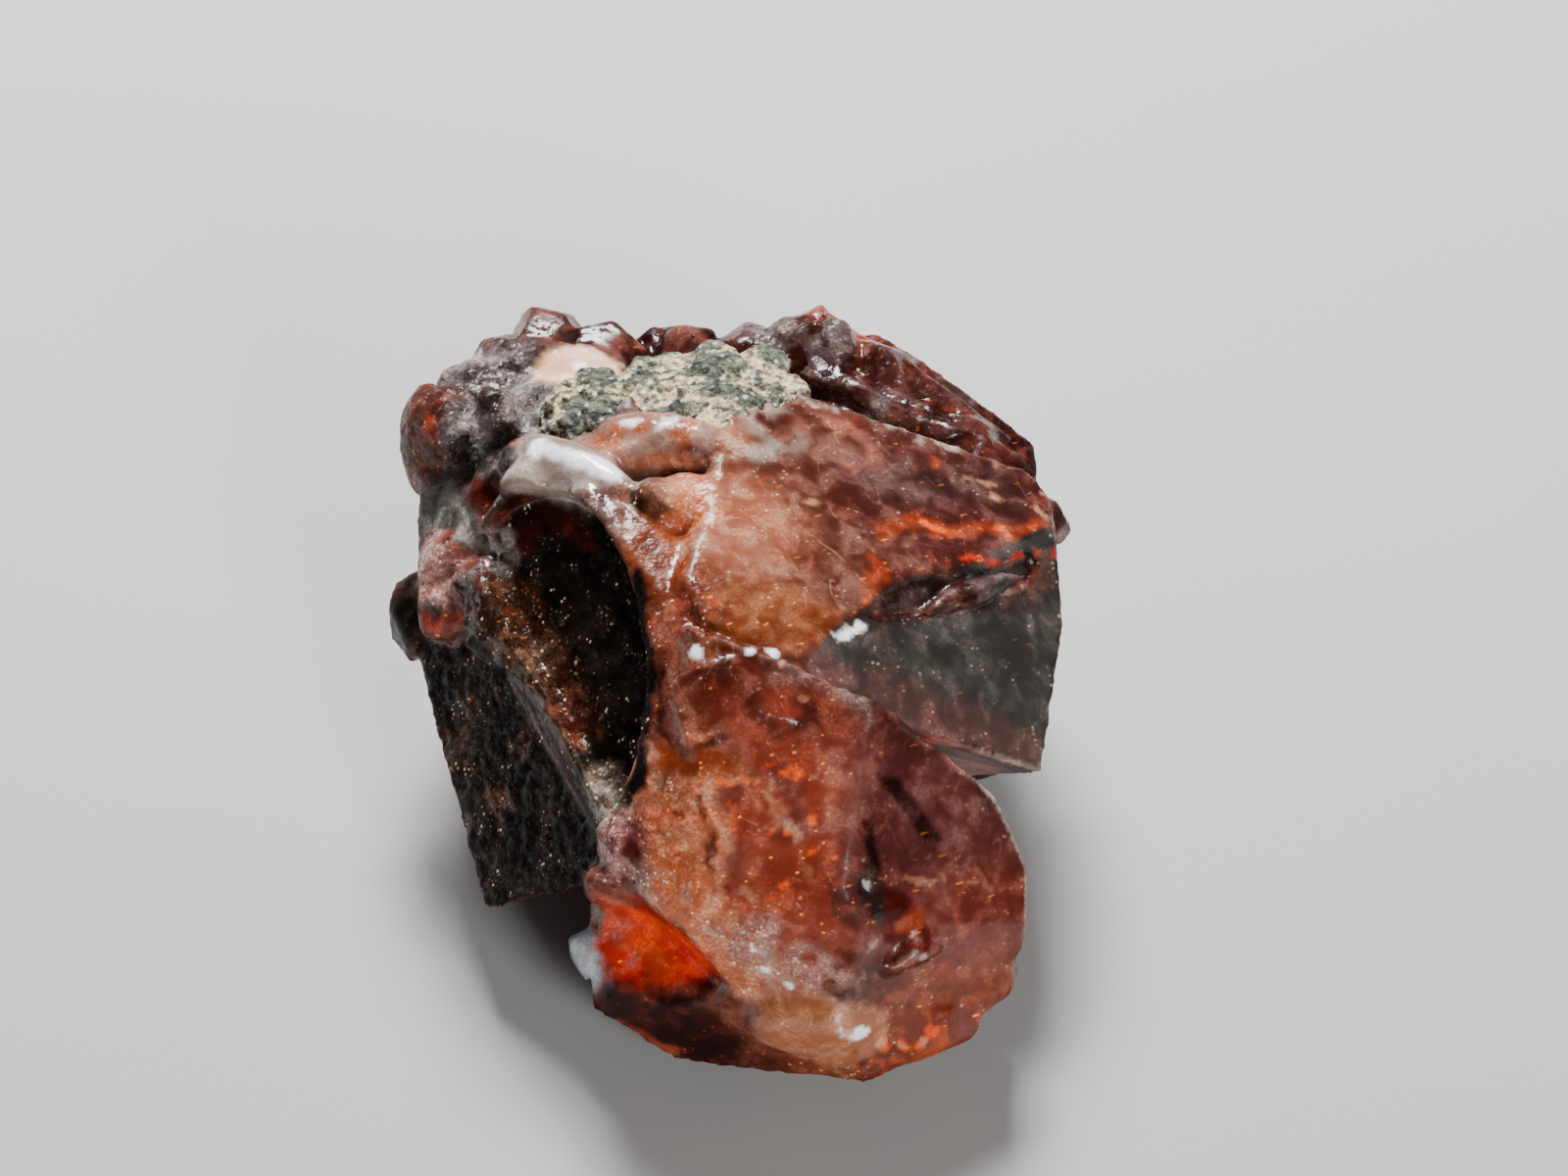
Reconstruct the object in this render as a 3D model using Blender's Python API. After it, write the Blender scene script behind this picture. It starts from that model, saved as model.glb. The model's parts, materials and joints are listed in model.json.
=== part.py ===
"""A rough zircon specimen about 20 mm across: several flat-faced crystals grown together, with a
remnant of host rock on top.

Frame: +Z up, the origin on the surface it rests on, under the middle of the specimen. The front
is -Y. Sizes are in millimetres here and become metres at MM. A crystal face is
(azimuth, elevation, distance): the direction its normal points in, in degrees, azimuth from +X
towards +Y and elevation above the horizon, and its distance from the crystal's centre.
"""

import math

import bmesh
import bpy
from mathutils import Euler, Matrix, Vector, noise

MM = 0.001
TO_MIDDLE = (0.16, -2.1, 0.0)  # from the point the shapes are laid out from to the frame's origin
BLANK_SIDE = 60.0  # the cube that each crystal is cut from
CRUST_GAP = 0.25  # clearance between the zircon and the host rock in its pocket
NODULE_DETAIL = 3  # icosphere subdivisions of a nodule
GRAIN_FACES = 15
GOLDEN_ANGLE = math.pi * (3 - math.sqrt(5))
WANDER_OFFSETS = (Vector((0, 0, 0)), Vector((19.3, 7.7, 3.1)), Vector((5.9, 23.1, 11.3)))

# The crystals that make the mass: centre, then faces.
CRYSTALS = {
    # The big crystal at the upper right: a broad hazy top and a slate-grey front face.
    "upper_crystal": ((4.0, 3.0, 7.0), [
        (-30, 76, 4.92),
        (-3, 71.5, 4.22),
        (-33, 45, 4.5),
        (-95, 50, 7.7),
        (-104, -34, 3.7),
        (3, -31, 4.05),
        (77, 15, 4.95),
        (55, 8, 5.7),
        (33, 3, 5.82),
        (6, -4, 5.2),
        (170, 30, 6.9),
        (125, 25, 6.6),
        (-150, -10, 5.5),
        (0, -90, 5.0),
    ]),
    # The rounded crystal at the front, whose faces turn towards the lower right.
    "lower_crystal": ((2.0, -3.0, 4.0), [
        (-95, 50, 6.3),
        (-49, 36, 6.0),
        (-94, 38, 6.26),
        (-56, 25, 6.2),
        (-95, 25, 6.15),
        (-61, 13, 6.2),
        (-107, 3, 6.0),
        (-148, 27, 5.9),
        (89, 25, 4.1),
        (66, 22, 2.5),
        (63, 19, 2.3),
        (42, 1, 3.0),
        (22, -20, 3.9),
        (10, -33, 4.4),
        (-22, -62, 4.5),
        (-70, -73, 4.05),
        (-121, -78, 4.75),
        (-164, -58, 5.2),
        (159, -22, 4.35),
        (0, -90, 5.5),
    ]),
    # The dark crystal at the left, with its long flat face.
    "left_crystal": ((-4.0, 0.0, 5.0), [
        (-145, 34, 2.8),
        (180, -34, 4.0),
        (-22, -52, 1.1),
        (100, -5, 4.5),
        (20, 10, 4.0),
        (-95, 50, 6.6),
        (-120, -60, 4.6),
        (0, 90, 5.0),
    ]),
    # The parallel growth of the same crystal, a step higher, that the hollow is broken into.
    "left_growth": ((-4.0, 0.0, 5.0), [
        (-139, 41, 4.2),
        (-152, 0, 2.0),
        (-160, 20, 2.9),
        (-95, 50, 7.15),
        (-41, 80, 7.6),
        (-75, -30, 4.6),
        (41, 55, 7.5),
        (155, 40, 6.2),
        (15, 10, 4.6),
        (70, 20, 5.0),
        (60, -40, 5.0),
        (110, -25, 4.6),
        (0, -90, 2.0),
    ]),
    # The crusty grey crystal at the upper left.
    "corner_crystal": ((-6.0, 6.0, 6.0), [
        (-154, 46, 4.3),
        (163, 67, 5.1),
        (172, -20, 2.1),
        (119, 22, 6.0),
        (75, 50, 6.0),
        (95, 5, 7.0),
        (-100, 20, 3.6),
        (-120, -50, 3.5),
        (10, 30, 6.0),
        (140, -45, 5.0),
        (20, -60, 5.0),
    ]),
    # The back of the specimen, lower than the ridge of the big crystal.
    "back_crystal": ((4.0, 9.0, 5.0), [
        (-1, 76, 4.4),
        (150, 76, 4.8),
        (102, 21, 5.3),
        (92, 0, 4.4),
        (51, 11, 4.2),
        (45, 9, 4.2),
        (7, -15, 4.4),
        (3, -31, 2.6),
        (-33, 45, 7.9),
        (165, 5, 8.0),
        (80, -42, 6.0),
        (20, -50, 5.2),
        (140, -38, 6.4),
        (-90, 0, 8.0),
        (0, -90, 6.5),
    ]),
    # Two small growths on the far side, parallel to the big crystal.
    "rear_growth": ((-1.5, 11.5, 4.5), [
        (95, 5, 2.2),
        (5, 0, 2.2),
        (-175, 0, 2.6),
        (140, 45, 3.1),
        (50, 45, 2.9),
        (95, -50, 3.4),
        (-85, 0, 4.0),
        (180, -40, 3.2),
        (0, 80, 3.4),
    ]),
    "side_growth": ((5.6, 3.5, 4.0), [
        (12, 8, 2.7),
        (-60, 5, 2.6),
        (80, 5, 2.5),
        (10, 55, 3.2),
        (10, -40, 3.2),
        (-170, 0, 4.0),
        (-70, -45, 3.2),
    ]),
    # The body that carries them all and meets the ground.
    "body": ((0.0, 2.5, 4.0), [
        (0, 90, 6.9),
        (-90, 45, 5.6),
        (-88, -25, 5.4),
        (-40, -8, 5.6),
        (-10, -38, 5.2),
        (35, -42, 6.2),
        (85, -38, 6.6),
        (135, -40, 7.0),
        (178, -42, 5.6),
        (-135, -40, 5.4),
        (-150, 10, 4.6),
        (10, 10, 5.0),
        (90, 20, 9.0),
        (45, 45, 8.4),
        (135, 45, 8.4),
        (0, -90, 5.5),
    ]),
}

# Rounded nodules: centre, half-axes, turn about X, Y and Z in degrees.
NODULES = {
    "red_nodule": ((-9.0, 8.1, 9.4), (1.0, 1.3, 1.9), (-30, 0, 10)),
    "pale_pebble": ((-4.6, 9.6, 10.2), (1.6, 1.6, 1.2), (0, 0, 0)),
    "silver_ridge": ((-4.5, 3.8, 12.25), (2.5, 0.8, 0.9), (0, -8, -38)),
    "crust_ledge": ((-2.1, 4.9, 12.3), (2.4, 0.9, 1.0), (0, -8, -15)),
    "notch_lump": ((-1.3, 2.5, 12.15), (1.2, 1.1, 0.85), (0, 10, -40)),
    "chip_brow": ((-1.8, -6.5, 6.9), (0.75, 2.0, 1.7), (0, -27, -148)),
    "seam_lump": ((-0.95, -1.4, 12.1), (1.1, 0.4, 0.4), (0, 10, -54)),
    "salmon_lump": ((2.3, -8.5, 3.5), (2.1, 1.3, 1.6), (30, 0, 0)),
}
NODULE_ROUGHNESS = 0.12

# Angular grains, most of a grain being sunk in the mass: centre, half-axes, turn.
GRAINS = {
    "dark_grain": ((-9.3, 4.2, 6.3), (0.9, 0.9, 1.5), (-35, 20, 0)),
    "pink_grain_a": ((-8.1, 4.2, 8.3), (1.1, 1.0, 1.2), (0, 20, 0)),
    "pink_grain_b": ((-8.3, 3.1, 7.5), (1.0, 1.0, 1.0), (0, 0, 30)),
    "pink_grain_c": ((-7.2, 3.0, 8.6), (0.9, 1.0, 0.9), (10, 0, 60)),
    "square_grain": ((0.2, -4.1, 10.8), (1.9, 1.6, 0.65), (42, 0, 0)),
    "amber_grain_a": ((5.2, -7.9, 2.4), (1.7, 1.2, 1.2), (20, 0, 15)),
    "amber_grain_b": ((6.8, -6.6, 3.0), (1.3, 1.2, 1.2), (20, 0, 35)),
    "pit_shelf": ((4.3, -8.1, 5.6), (1.4, 0.7, 0.55), (20, 0, 12)),
    "edge_grain_a": ((-2.9, -5.4, 6.8), (0.9, 0.8, 1.4), (30, 0, 0)),
    "edge_grain_b": ((-3.4, -5.8, 5.5), (0.8, 0.7, 1.1), (30, 0, 0)),
    "silvery_grain": ((-4.1, -6.2, 3.1), (0.5, 0.7, 0.9), (20, 10, 20)),
    "ridge_grain_a": ((-5.6, 5.0, 11.6), (1.3, 0.9, 0.8), (0, -14, -38)),
    "ridge_grain_b": ((-2.0, 2.2, 12.6), (1.0, 0.7, 0.7), (0, 10, -50)),
    "shelf_grain": ((6.7, 0.9, 10.4), (1.9, 0.5, 0.4), (-40, 14, 40)),
    "rear_ledge_a": ((5.4, 9.2, 9.2), (4.2, 0.7, 0.7), (0, 10, -26)),
    "rear_ledge_b": ((4.6, 11.2, 9.1), (3.8, 0.8, 0.9), (0, 12, -32)),
}

# Strings of grains along a line: both ends, how many, and the size of the largest.
GRAIN_STRINGS = {
    "rear_rim": ((-5.5, 11.5, 9.1), (3.4, 12.3, 9.3), 8, 1.3),
    "right_rim": ((3.0, 12.2, 9.4), (9.2, 6.4, 7.9), 9, 1.2),
    "corner_edge": ((-8.7, 9.4, 9.9), (-5.2, 11.4, 10.0), 5, 1.25),
    "corner_crest": ((-8.4, 7.4, 10.1), (-5.6, 7.0, 11.2), 4, 1.1),
    "broken_stripe": ((-7.0, 1.9, 9.1), (-4.6, -1.5, 8.3), 9, 1.0),
    "hollow_rim": ((-7.0, 3.6, 10.3), (-5.0, 3.9, 12.0), 4, 0.9),
    "seam_specks": ((-3.6, -3.4, 7.4), (-2.7, -5.2, 7.3), 4, 0.6),
    "left_foot": ((-7.0, 2.0, 2.6), (-6.6, 7.4, 3.4), 4, 1.4),
    "rear_foot": ((-4.8, 10.6, 3.2), (5.8, 11.4, 3.6), 5, 1.7),
}

# Hollows, broken or etched into the mass: centre, half-axes, turn.
HOLLOWS = {
    "orange_chip": ((-3.1, -8.1, 5.1), (3.5, 1.7, 1.7), (0, 10, -22)),
    "front_pit_a": ((4.8, -8.7, 7.1), (0.9, 0.85, 1.5), (0, 25, 0)),
    "front_pit_b": ((3.7, -8.15, 8.3), (0.5, 0.7, 0.9), (0, 10, 0)),
    "spine_hole": ((-2.7, 3.6, 13.0), (0.45, 0.35, 0.8), (0, 0, -30)),
    "corner_pit": ((-7.2, 4.6, 10.9), (0.8, 0.8, 0.9), (0, 0, 0)),
    "corner_groove": ((-7.9, 6.4, 10.6), (0.5, 1.9, 0.6), (10, 0, -20)),
    "shelf_crack_a": ((4.9, 0.1, 11.1), (1.7, 0.35, 0.6), (-30, 14, 40)),
    "shelf_crack_b": ((7.9, 2.3, 9.9), (1.4, 0.35, 0.6), (-30, 14, 42)),
    "rear_notch": ((4.9, 9.9, 11.0), (4.6, 0.7, 1.2), (0, 12, -40)),
}

# The broken hollow at the left: an elliptical cut with its floor along the dark face.
SCOOP_CENTRE = (-5.0, -0.65, 8.8)
SCOOP_FACING = (-136, 42)
SCOOP_LONG_AXIS = (-83, -34)
SCOOP_HALF_SIZE = (5.1, 3.5)
SCOOP_DEPTH = 3.0
SCOOP_FLARE = 1.08  # the mouth over the floor
SCOOP_LEFT_EDGE = ((-5.2, -0.4, 8.5), (-169, -43))  # a point, and the way the straight side faces

# Host rock left on top, in beds: centre, half-axes, turn, how many grains lie over it, their size.
ROCK_BEDS = (
    ((-1.2, 7.4, 11.2), (3.0, 2.4, 0.9), (-5, -7, 0), 17, 0.9),
    ((-4.2, 6.9, 11.6), (1.3, 1.2, 0.8), (0, -14, 25), 5, 0.55),
)

COLOURS = {
    "zircon_crystal": ((0.28, 0.05, 0.03, 1.0), 0.15),
    "matrix_crust": ((0.42, 0.43, 0.34, 1.0), 0.8),
}


def clear_scene():
    for obj in list(bpy.data.objects):
        bpy.data.objects.remove(obj)


def new_collection(name):
    made = bpy.data.collections.new(name)
    bpy.context.scene.collection.children.link(made)
    return made


def finish_mesh(bm, name, where):
    """Turns the millimetre bmesh into an object, in metres, in a collection."""
    bmesh.ops.translate(bm, vec=TO_MIDDLE, verts=bm.verts)
    bmesh.ops.scale(bm, vec=(MM, MM, MM), verts=bm.verts)
    bmesh.ops.recalc_face_normals(bm, faces=bm.faces)
    mesh = bpy.data.meshes.new(name)
    bm.to_mesh(mesh)
    bm.free()
    obj = bpy.data.objects.new(name, mesh)
    where.objects.link(obj)
    return obj


def as_helper(obj):
    obj.hide_render = True
    obj.display_type = "WIRE"
    return obj


def direction(azimuth, elevation):
    az, el = math.radians(azimuth), math.radians(elevation)
    return Vector((math.cos(az) * math.cos(el), math.sin(az) * math.cos(el), math.sin(el)))


def wander(point):
    """A smooth vector noise."""
    return Vector([noise.noise(point + offset) for offset in WANDER_OFFSETS])


def placing(centre, half_axes, turn):
    """The matrix that carries a unit ball to an ellipsoid."""
    spin = Euler([math.radians(angle) for angle in turn]).to_matrix().to_4x4()
    return Matrix.Translation(centre) @ spin @ Matrix.Diagonal((*half_axes, 1.0))


def spread_direction(index, count):
    """Directions spread evenly over a sphere."""
    height = 1 - 2 * (index + 0.5) / count
    ring = math.sqrt(1 - height * height)
    turn = index * GOLDEN_ANGLE
    return Vector((ring * math.cos(turn), ring * math.sin(turn), height))


def cut_face(bm, point, normal):
    """Cuts away what is beyond a plane, and closes the cut."""
    cut = bmesh.ops.bisect_plane(
        bm,
        geom=bm.verts[:] + bm.edges[:] + bm.faces[:],
        plane_co=point,
        plane_no=normal,
        clear_outer=True,
    )
    rim = [e for e in cut["geom_cut"] if isinstance(e, bmesh.types.BMEdge)]
    if rim:
        bmesh.ops.contextual_create(bm, geom=rim)


def cut_crystal(name, centre, faces, where):
    bm = bmesh.new()
    bmesh.ops.create_cube(bm, size=BLANK_SIDE, matrix=Matrix.Translation(centre))
    for azimuth, elevation, distance in faces:
        normal = direction(azimuth, elevation)
        cut_face(bm, Vector(centre) + normal * distance, normal)
    return finish_mesh(bm, name, where)


def cut_grain(name, centre, half_axes, turn, where):
    """A small angular grain: flat faces in scattered directions round an ellipsoid."""
    bm = bmesh.new()
    bmesh.ops.create_cube(bm, size=4.0)
    for index in range(GRAIN_FACES):
        even = spread_direction(index, GRAIN_FACES)
        normal = (even + 0.45 * wander(even * 3.0 + Vector(centre))).normalized()
        distance = 0.9 + 0.18 * noise.noise(normal * 2.0 + Vector(centre))
        cut_face(bm, normal * distance, normal)
    bmesh.ops.transform(bm, matrix=placing(centre, half_axes, turn), verts=bm.verts)
    return finish_mesh(bm, name, where)


def nodule(name, centre, half_axes, turn, where):
    """A rounded, slightly knobbly body."""
    bm = bmesh.new()
    bmesh.ops.create_icosphere(bm, subdivisions=NODULE_DETAIL, radius=1.0)
    for vert in bm.verts:
        knobs = noise.noise(vert.co * 1.7 + Vector(centre))
        vert.co *= 1.0 + NODULE_ROUGHNESS * knobs
    bmesh.ops.transform(bm, matrix=placing(centre, half_axes, turn), verts=bm.verts)
    return finish_mesh(bm, name, where)


def string_of_grains(name, start, end, count, size, where):
    """Grains of mixed sizes that follow a line unevenly."""
    for index in range(count):
        along = Vector(start).lerp(Vector(end), (index + 0.5) / count)
        stray = wander(along * 1.9)
        radius = size * (0.8 + 0.7 * noise.noise(along * 2.7))
        half_axes = [radius * (1.0 + 0.5 * value) for value in wander(along * 3.3)]
        turn = [120 * value for value in stray]
        cut_grain(f"{name}_{index}", along + stray * size * 0.7, half_axes, turn, where)


def rock_shapes():
    """The beds of the host rock and the grains over them, as (centre, half-axes, turn)."""
    for centre, half_axes, tilt, count, grain_size in ROCK_BEDS:
        yield centre, half_axes, tilt
        bed = placing(centre, half_axes, tilt)
        for index in range(count):
            turn = index * GOLDEN_ANGLE
            reach = 0.86 * math.sqrt((index + 0.5) / count)
            height = 0.75 * math.sqrt(1 - reach * reach)
            spot = bed @ Vector((reach * math.cos(turn), reach * math.sin(turn), height))
            size = grain_size * (0.8 + 0.5 * noise.noise(spot * 1.3))
            yield spot, (size, size * 0.9, size * 0.6), (0, 12 * math.sin(turn), 60 * index)


def scoop(name, where):
    """The elliptical cutter of the broken hollow at the left."""
    bm = bmesh.new()
    bmesh.ops.create_cone(
        bm, cap_ends=True, segments=40, radius1=1.0, radius2=SCOOP_FLARE, depth=SCOOP_DEPTH,
        matrix=Matrix.Translation((0, 0, SCOOP_DEPTH / 2)),
    )
    facing = direction(*SCOOP_FACING)
    across = facing.cross(direction(*SCOOP_LONG_AXIS)).normalized()
    axes = Matrix((across.cross(facing), across, facing)).transposed().to_4x4()
    size = Matrix.Diagonal((*SCOOP_HALF_SIZE, 1.0, 1.0))
    bmesh.ops.transform(bm, matrix=Matrix.Translation(SCOOP_CENTRE) @ axes @ size, verts=bm.verts)
    point, side = SCOOP_LEFT_EDGE
    cut_face(bm, Vector(point), direction(*side))
    return finish_mesh(bm, name, where)


def ground_slab(name, where):
    """Cuts the flat resting face at z = 0."""
    bm = bmesh.new()
    below = Matrix.Translation((0, 0, -BLANK_SIDE / 2))
    bmesh.ops.create_cube(bm, size=BLANK_SIDE, matrix=below)
    return finish_mesh(bm, name, where)


def boolean(obj, operation, others):
    modifier = obj.modifiers.new(operation.title(), "BOOLEAN")
    modifier.operation = operation
    modifier.solver = "EXACT"
    modifier.operand_type = "COLLECTION"
    modifier.collection = others


def material(name):
    colour, roughness = COLOURS[name]
    made = bpy.data.materials.new(name)
    made.use_nodes = True
    shader = made.node_tree.nodes["Principled BSDF"]
    shader.inputs["Base Color"].default_value = colour
    shader.inputs["Roughness"].default_value = roughness
    shader.inputs["Metallic"].default_value = 0.0
    return made


def build_zircon(part, grown, hollows):
    blanks = dict(CRYSTALS)
    zircon = cut_crystal("zircon_crystal", *blanks.pop("body"), part)
    for name, shape in blanks.items():
        cut_crystal(name, *shape, grown)
    for name, shape in NODULES.items():
        nodule(name, *shape, grown)
    for name, shape in GRAINS.items():
        cut_grain(name, *shape, grown)
    for name, shape in GRAIN_STRINGS.items():
        string_of_grains(name, *shape, grown)
    for name, shape in HOLLOWS.items():
        cut_grain(name, *shape, hollows)
    scoop("left_scoop", hollows)
    ground_slab("ground", hollows)
    boolean(zircon, "UNION", grown)
    boolean(zircon, "DIFFERENCE", hollows)
    zircon.data.materials.append(material("zircon_crystal"))


def build_crust(part, rock, hollows):
    """The host rock, and the slightly larger pocket for it in the zircon."""
    shapes = list(rock_shapes())
    crust = cut_grain("matrix_crust", *shapes[0], part)
    for index, shape in enumerate(shapes[1:]):
        cut_grain(f"rock_grain_{index}", *shape, rock)
    boolean(crust, "UNION", rock)
    crust.data.materials.append(material("matrix_crust"))
    for index, (centre, half_axes, turn) in enumerate(shapes):
        wider = [axis + CRUST_GAP for axis in half_axes]
        cut_grain(f"rock_pocket_{index}", centre, wider, turn, hollows)


def main():
    clear_scene()
    part = new_collection("zircon_specimen")
    grown = new_collection("grown_together")
    rock = new_collection("rock_grains")
    hollows = new_collection("hollows")
    build_zircon(part, grown, hollows)
    build_crust(part, rock, hollows)
    for helpers in (grown, rock, hollows):
        for obj in helpers.objects:
            as_helper(obj)


main()
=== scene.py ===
"""The looks of the rough zircon specimen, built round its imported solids.

Places are in millimetres from the point that the solids are laid out from, which is LAYOUT_AT in
the frame. A crystal face is (crystal, azimuth, elevation, distance), as in the solids.
"""

import json
import math

import bpy
import numpy as np
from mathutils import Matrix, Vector, noise

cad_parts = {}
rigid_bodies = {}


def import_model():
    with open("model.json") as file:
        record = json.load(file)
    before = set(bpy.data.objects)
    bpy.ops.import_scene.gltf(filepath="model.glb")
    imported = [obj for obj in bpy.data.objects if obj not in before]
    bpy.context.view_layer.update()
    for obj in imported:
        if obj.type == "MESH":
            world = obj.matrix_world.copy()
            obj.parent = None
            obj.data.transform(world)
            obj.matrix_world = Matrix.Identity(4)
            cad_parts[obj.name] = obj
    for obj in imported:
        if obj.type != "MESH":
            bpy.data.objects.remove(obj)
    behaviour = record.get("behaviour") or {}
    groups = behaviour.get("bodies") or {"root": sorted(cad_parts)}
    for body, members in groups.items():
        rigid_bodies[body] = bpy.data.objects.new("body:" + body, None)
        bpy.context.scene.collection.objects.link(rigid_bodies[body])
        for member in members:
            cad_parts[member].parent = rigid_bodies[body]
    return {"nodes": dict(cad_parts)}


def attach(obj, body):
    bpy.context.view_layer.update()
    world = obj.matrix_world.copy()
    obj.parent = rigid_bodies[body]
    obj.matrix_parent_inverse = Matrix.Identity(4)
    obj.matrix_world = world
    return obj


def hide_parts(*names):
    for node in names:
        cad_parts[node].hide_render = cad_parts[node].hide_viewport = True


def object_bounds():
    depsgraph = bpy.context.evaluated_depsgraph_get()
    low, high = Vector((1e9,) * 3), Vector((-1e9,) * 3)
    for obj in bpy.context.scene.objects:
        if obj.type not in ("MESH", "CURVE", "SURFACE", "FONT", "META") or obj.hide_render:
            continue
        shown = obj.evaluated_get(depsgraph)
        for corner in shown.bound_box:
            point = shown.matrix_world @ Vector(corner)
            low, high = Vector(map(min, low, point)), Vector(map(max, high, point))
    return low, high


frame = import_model()
CAD_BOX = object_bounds()

bl_info = {
    "name": "Rough zircon specimen",
    "version": (1, 0, 0),
    "blender": (4, 5, 0),
    "location": "3D View > Sidebar > Zircon",
    "description": "Builds the visible zircon specimen round its solids, and a small studio",
    "category": "Object",
}

MM = 0.001
LAYOUT_AT = np.array((0.16, -2.1, 0.0))
WANDER_OFFSETS = (Vector((0, 0, 0)), Vector((19.3, 7.7, 3.1)), Vector((5.9, 23.1, 11.3)))
# How far the outlines of painted parts stray, in mm, with how many waves per mm.
STRAYING = ((0.35, 0.9), (0.16, 3.1))
# Where an edge starts to count as sharp and where it fully does, in radians per mm.
SHARP_BEND = (0.8, 2.4)
# The cosines between which a vertex starts to lie in a crystal face's plane and fully does.
IN_PLANE = (0.90, 0.97)
# How far a panel reaches before and behind its plane, in mm.
PANEL_REACH = 0.9

# The crystals' centres, and a point on the hollow's floor.
UPPER = (4, 3, 7)
LOWER = (2, -3, 4)
LEFT = (-4, 0, 5)
CORNER = (-6, 6, 6)
HOLLOW_FLOOR = (-5, -0.65, 8.8)
# The way that the front crystal's right side faces.
RIGHT_FACING = (-49, 36)


# ---- Where things are on the surface ----


def direction(azimuth, elevation):
    az, el = math.radians(azimuth), math.radians(elevation)
    return np.array((math.cos(az) * math.cos(el), math.sin(az) * math.cos(el), math.sin(el)))


def eased(low, high, value):
    """0 at low, 1 at high, smooth between; low may be the larger."""
    share = np.clip((value - low) / (high - low), 0, 1)
    return share * share * (3 - 2 * share)


def noise_at(points, scale, offset=WANDER_OFFSETS[0]):
    return np.array([noise.noise(Vector(point) * scale + offset) for point in points])


def wander(points, scale):
    """A smooth vector noise."""
    return np.stack([noise_at(points, scale, offset) for offset in WANDER_OFFSETS], 1)


def vertex_rows(vertices, key):
    """A row of three numbers for each vertex."""
    flat = np.empty(len(vertices) * 3, np.float32)
    vertices.foreach_get(key, flat)
    return flat.reshape(-1, 3)


class Survey:
    """Where each vertex of a mesh lies and faces, in the layout's millimetres, and how sharply the
    surface bends outwards there."""

    def __init__(self, mesh):
        self.points = vertex_rows(mesh.vertices, "co").astype(float) / MM - LAYOUT_AT
        self.normals = vertex_rows(mesh.vertices, "normal").astype(float)
        self.strayed = self.points.copy()
        for reach, waves in STRAYING:
            self.strayed += reach * wander(self.points, waves)
        ends = np.empty(len(mesh.edges) * 2, np.int32)
        mesh.edges.foreach_get("vertices", ends)
        first, second = ends.reshape(-1, 2).T
        along = self.points[second] - self.points[first]
        spread = np.sum((self.normals[second] - self.normals[first]) * along, 1)
        bend = spread / np.maximum(np.sum(along * along, 1), 1e-6)
        count = len(self.points)
        bends = np.bincount(first, bend, count) + np.bincount(second, bend, count)
        touching = np.bincount(first, minlength=count) + np.bincount(second, minlength=count)
        self.edge = eased(*SHARP_BEND, bends / np.maximum(touching, 1))
        self.noises = {}

    def noise(self, scale, offset):
        """Smooth noise at the points, worked out once for each scale and offset."""
        if (scale, offset) not in self.noises:
            self.noises[scale, offset] = noise_at(self.points, scale, WANDER_OFFSETS[offset])
        return self.noises[scale, offset]


def face(crystal, azimuth, elevation, distance, depth=0.3):
    """The flat of one crystal face."""
    normal = direction(azimuth, elevation)

    def mask(survey):
        height = (survey.points - crystal) @ normal - distance
        turned = survey.normals @ normal
        return eased(depth, depth * 0.5, np.abs(height)) * eased(*IN_PLANE, turned)

    return mask


def spot(centre, reach, edge=0.3):
    """A soft-edged ball or ellipsoid."""

    def mask(survey):
        away = np.linalg.norm((survey.strayed - centre) / reach, axis=1)
        return eased(1 + edge, 1 - edge, away)

    return mask


def streak(start, end, radius, edge=0.35):
    """Near a line."""

    def mask(survey):
        along = np.array(end) - np.array(start)
        off = survey.strayed - start
        share = np.clip(off @ along / (along @ along), 0, 1)
        away = np.linalg.norm(off - share[:, None] * along, axis=1) / radius
        return eased(1 + edge, 1 - edge, away)

    return mask


def marks(radius, *centres):
    """Small sharp spots."""

    def mask(survey):
        points = 0.6 * survey.points + 0.4 * survey.strayed
        away = np.min([np.linalg.norm(points - centre, axis=1) for centre in centres], axis=0)
        return eased(radius * 1.2, radius * 0.8, away + radius * survey.noise(2.2, 2))

    return mask


def line(radius, *points):
    """A thin line through points."""
    parts = [streak(a, b, radius) for a, b in zip(points, points[1:])]
    return lambda survey: np.max([part(survey) for part in parts], axis=0)


def panel(*corners):
    """A flat patch with straight sides on the front crystal's right side: its corners in order."""
    outward = direction(*RIGHT_FACING)
    corners = [np.array(corner) for corner in corners]
    middle = np.mean(corners, axis=0)

    def mask(survey):
        points = 0.8 * survey.points + 0.2 * survey.strayed
        inside = PANEL_REACH - np.abs((points - middle) @ outward)
        for start, end in zip(corners, corners[1:] + corners[:1]):
            inward = np.cross(outward, end - start)
            inward *= np.sign((middle - start) @ inward) / np.linalg.norm(inward)
            inside = np.minimum(inside, (points - start) @ inward)
        return eased(-0.08, 0.10, inside)

    return mask


def worn(mask):
    """The edges within a mask."""
    return both(mask, lambda survey: survey.edge)


def patches(scale, low, high, offset=1):
    """Cloudy patches."""

    def mask(survey):
        return eased(low, high, survey.noise(scale, offset))

    return mask


def looking(azimuth, elevation, low=0.3, high=0.8):
    normal = direction(azimuth, elevation)
    return lambda survey: eased(low, high, survey.normals @ normal)


def both(*masks):
    return lambda survey: np.prod([mask(survey) for mask in masks], axis=0)


def broken(mask, scale=2.2):
    """A mask broken up into bits; a larger scale makes smaller bits."""
    return both(mask, patches(scale, -0.12, 0.22, 2))


def flecks(scale, centre, reach):
    """A spot broken up into bits."""
    return broken(spot(centre, reach), scale)


def dashed(radius, scale, *points):
    """A thin line through points, broken up into bits."""
    return broken(line(radius, *points), scale)


# ---- Finishes of the zircon ----

TRAITS = ("haze", "pits", "glints", "sparks", "veils", "rough", "fire", "gloss")
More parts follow.
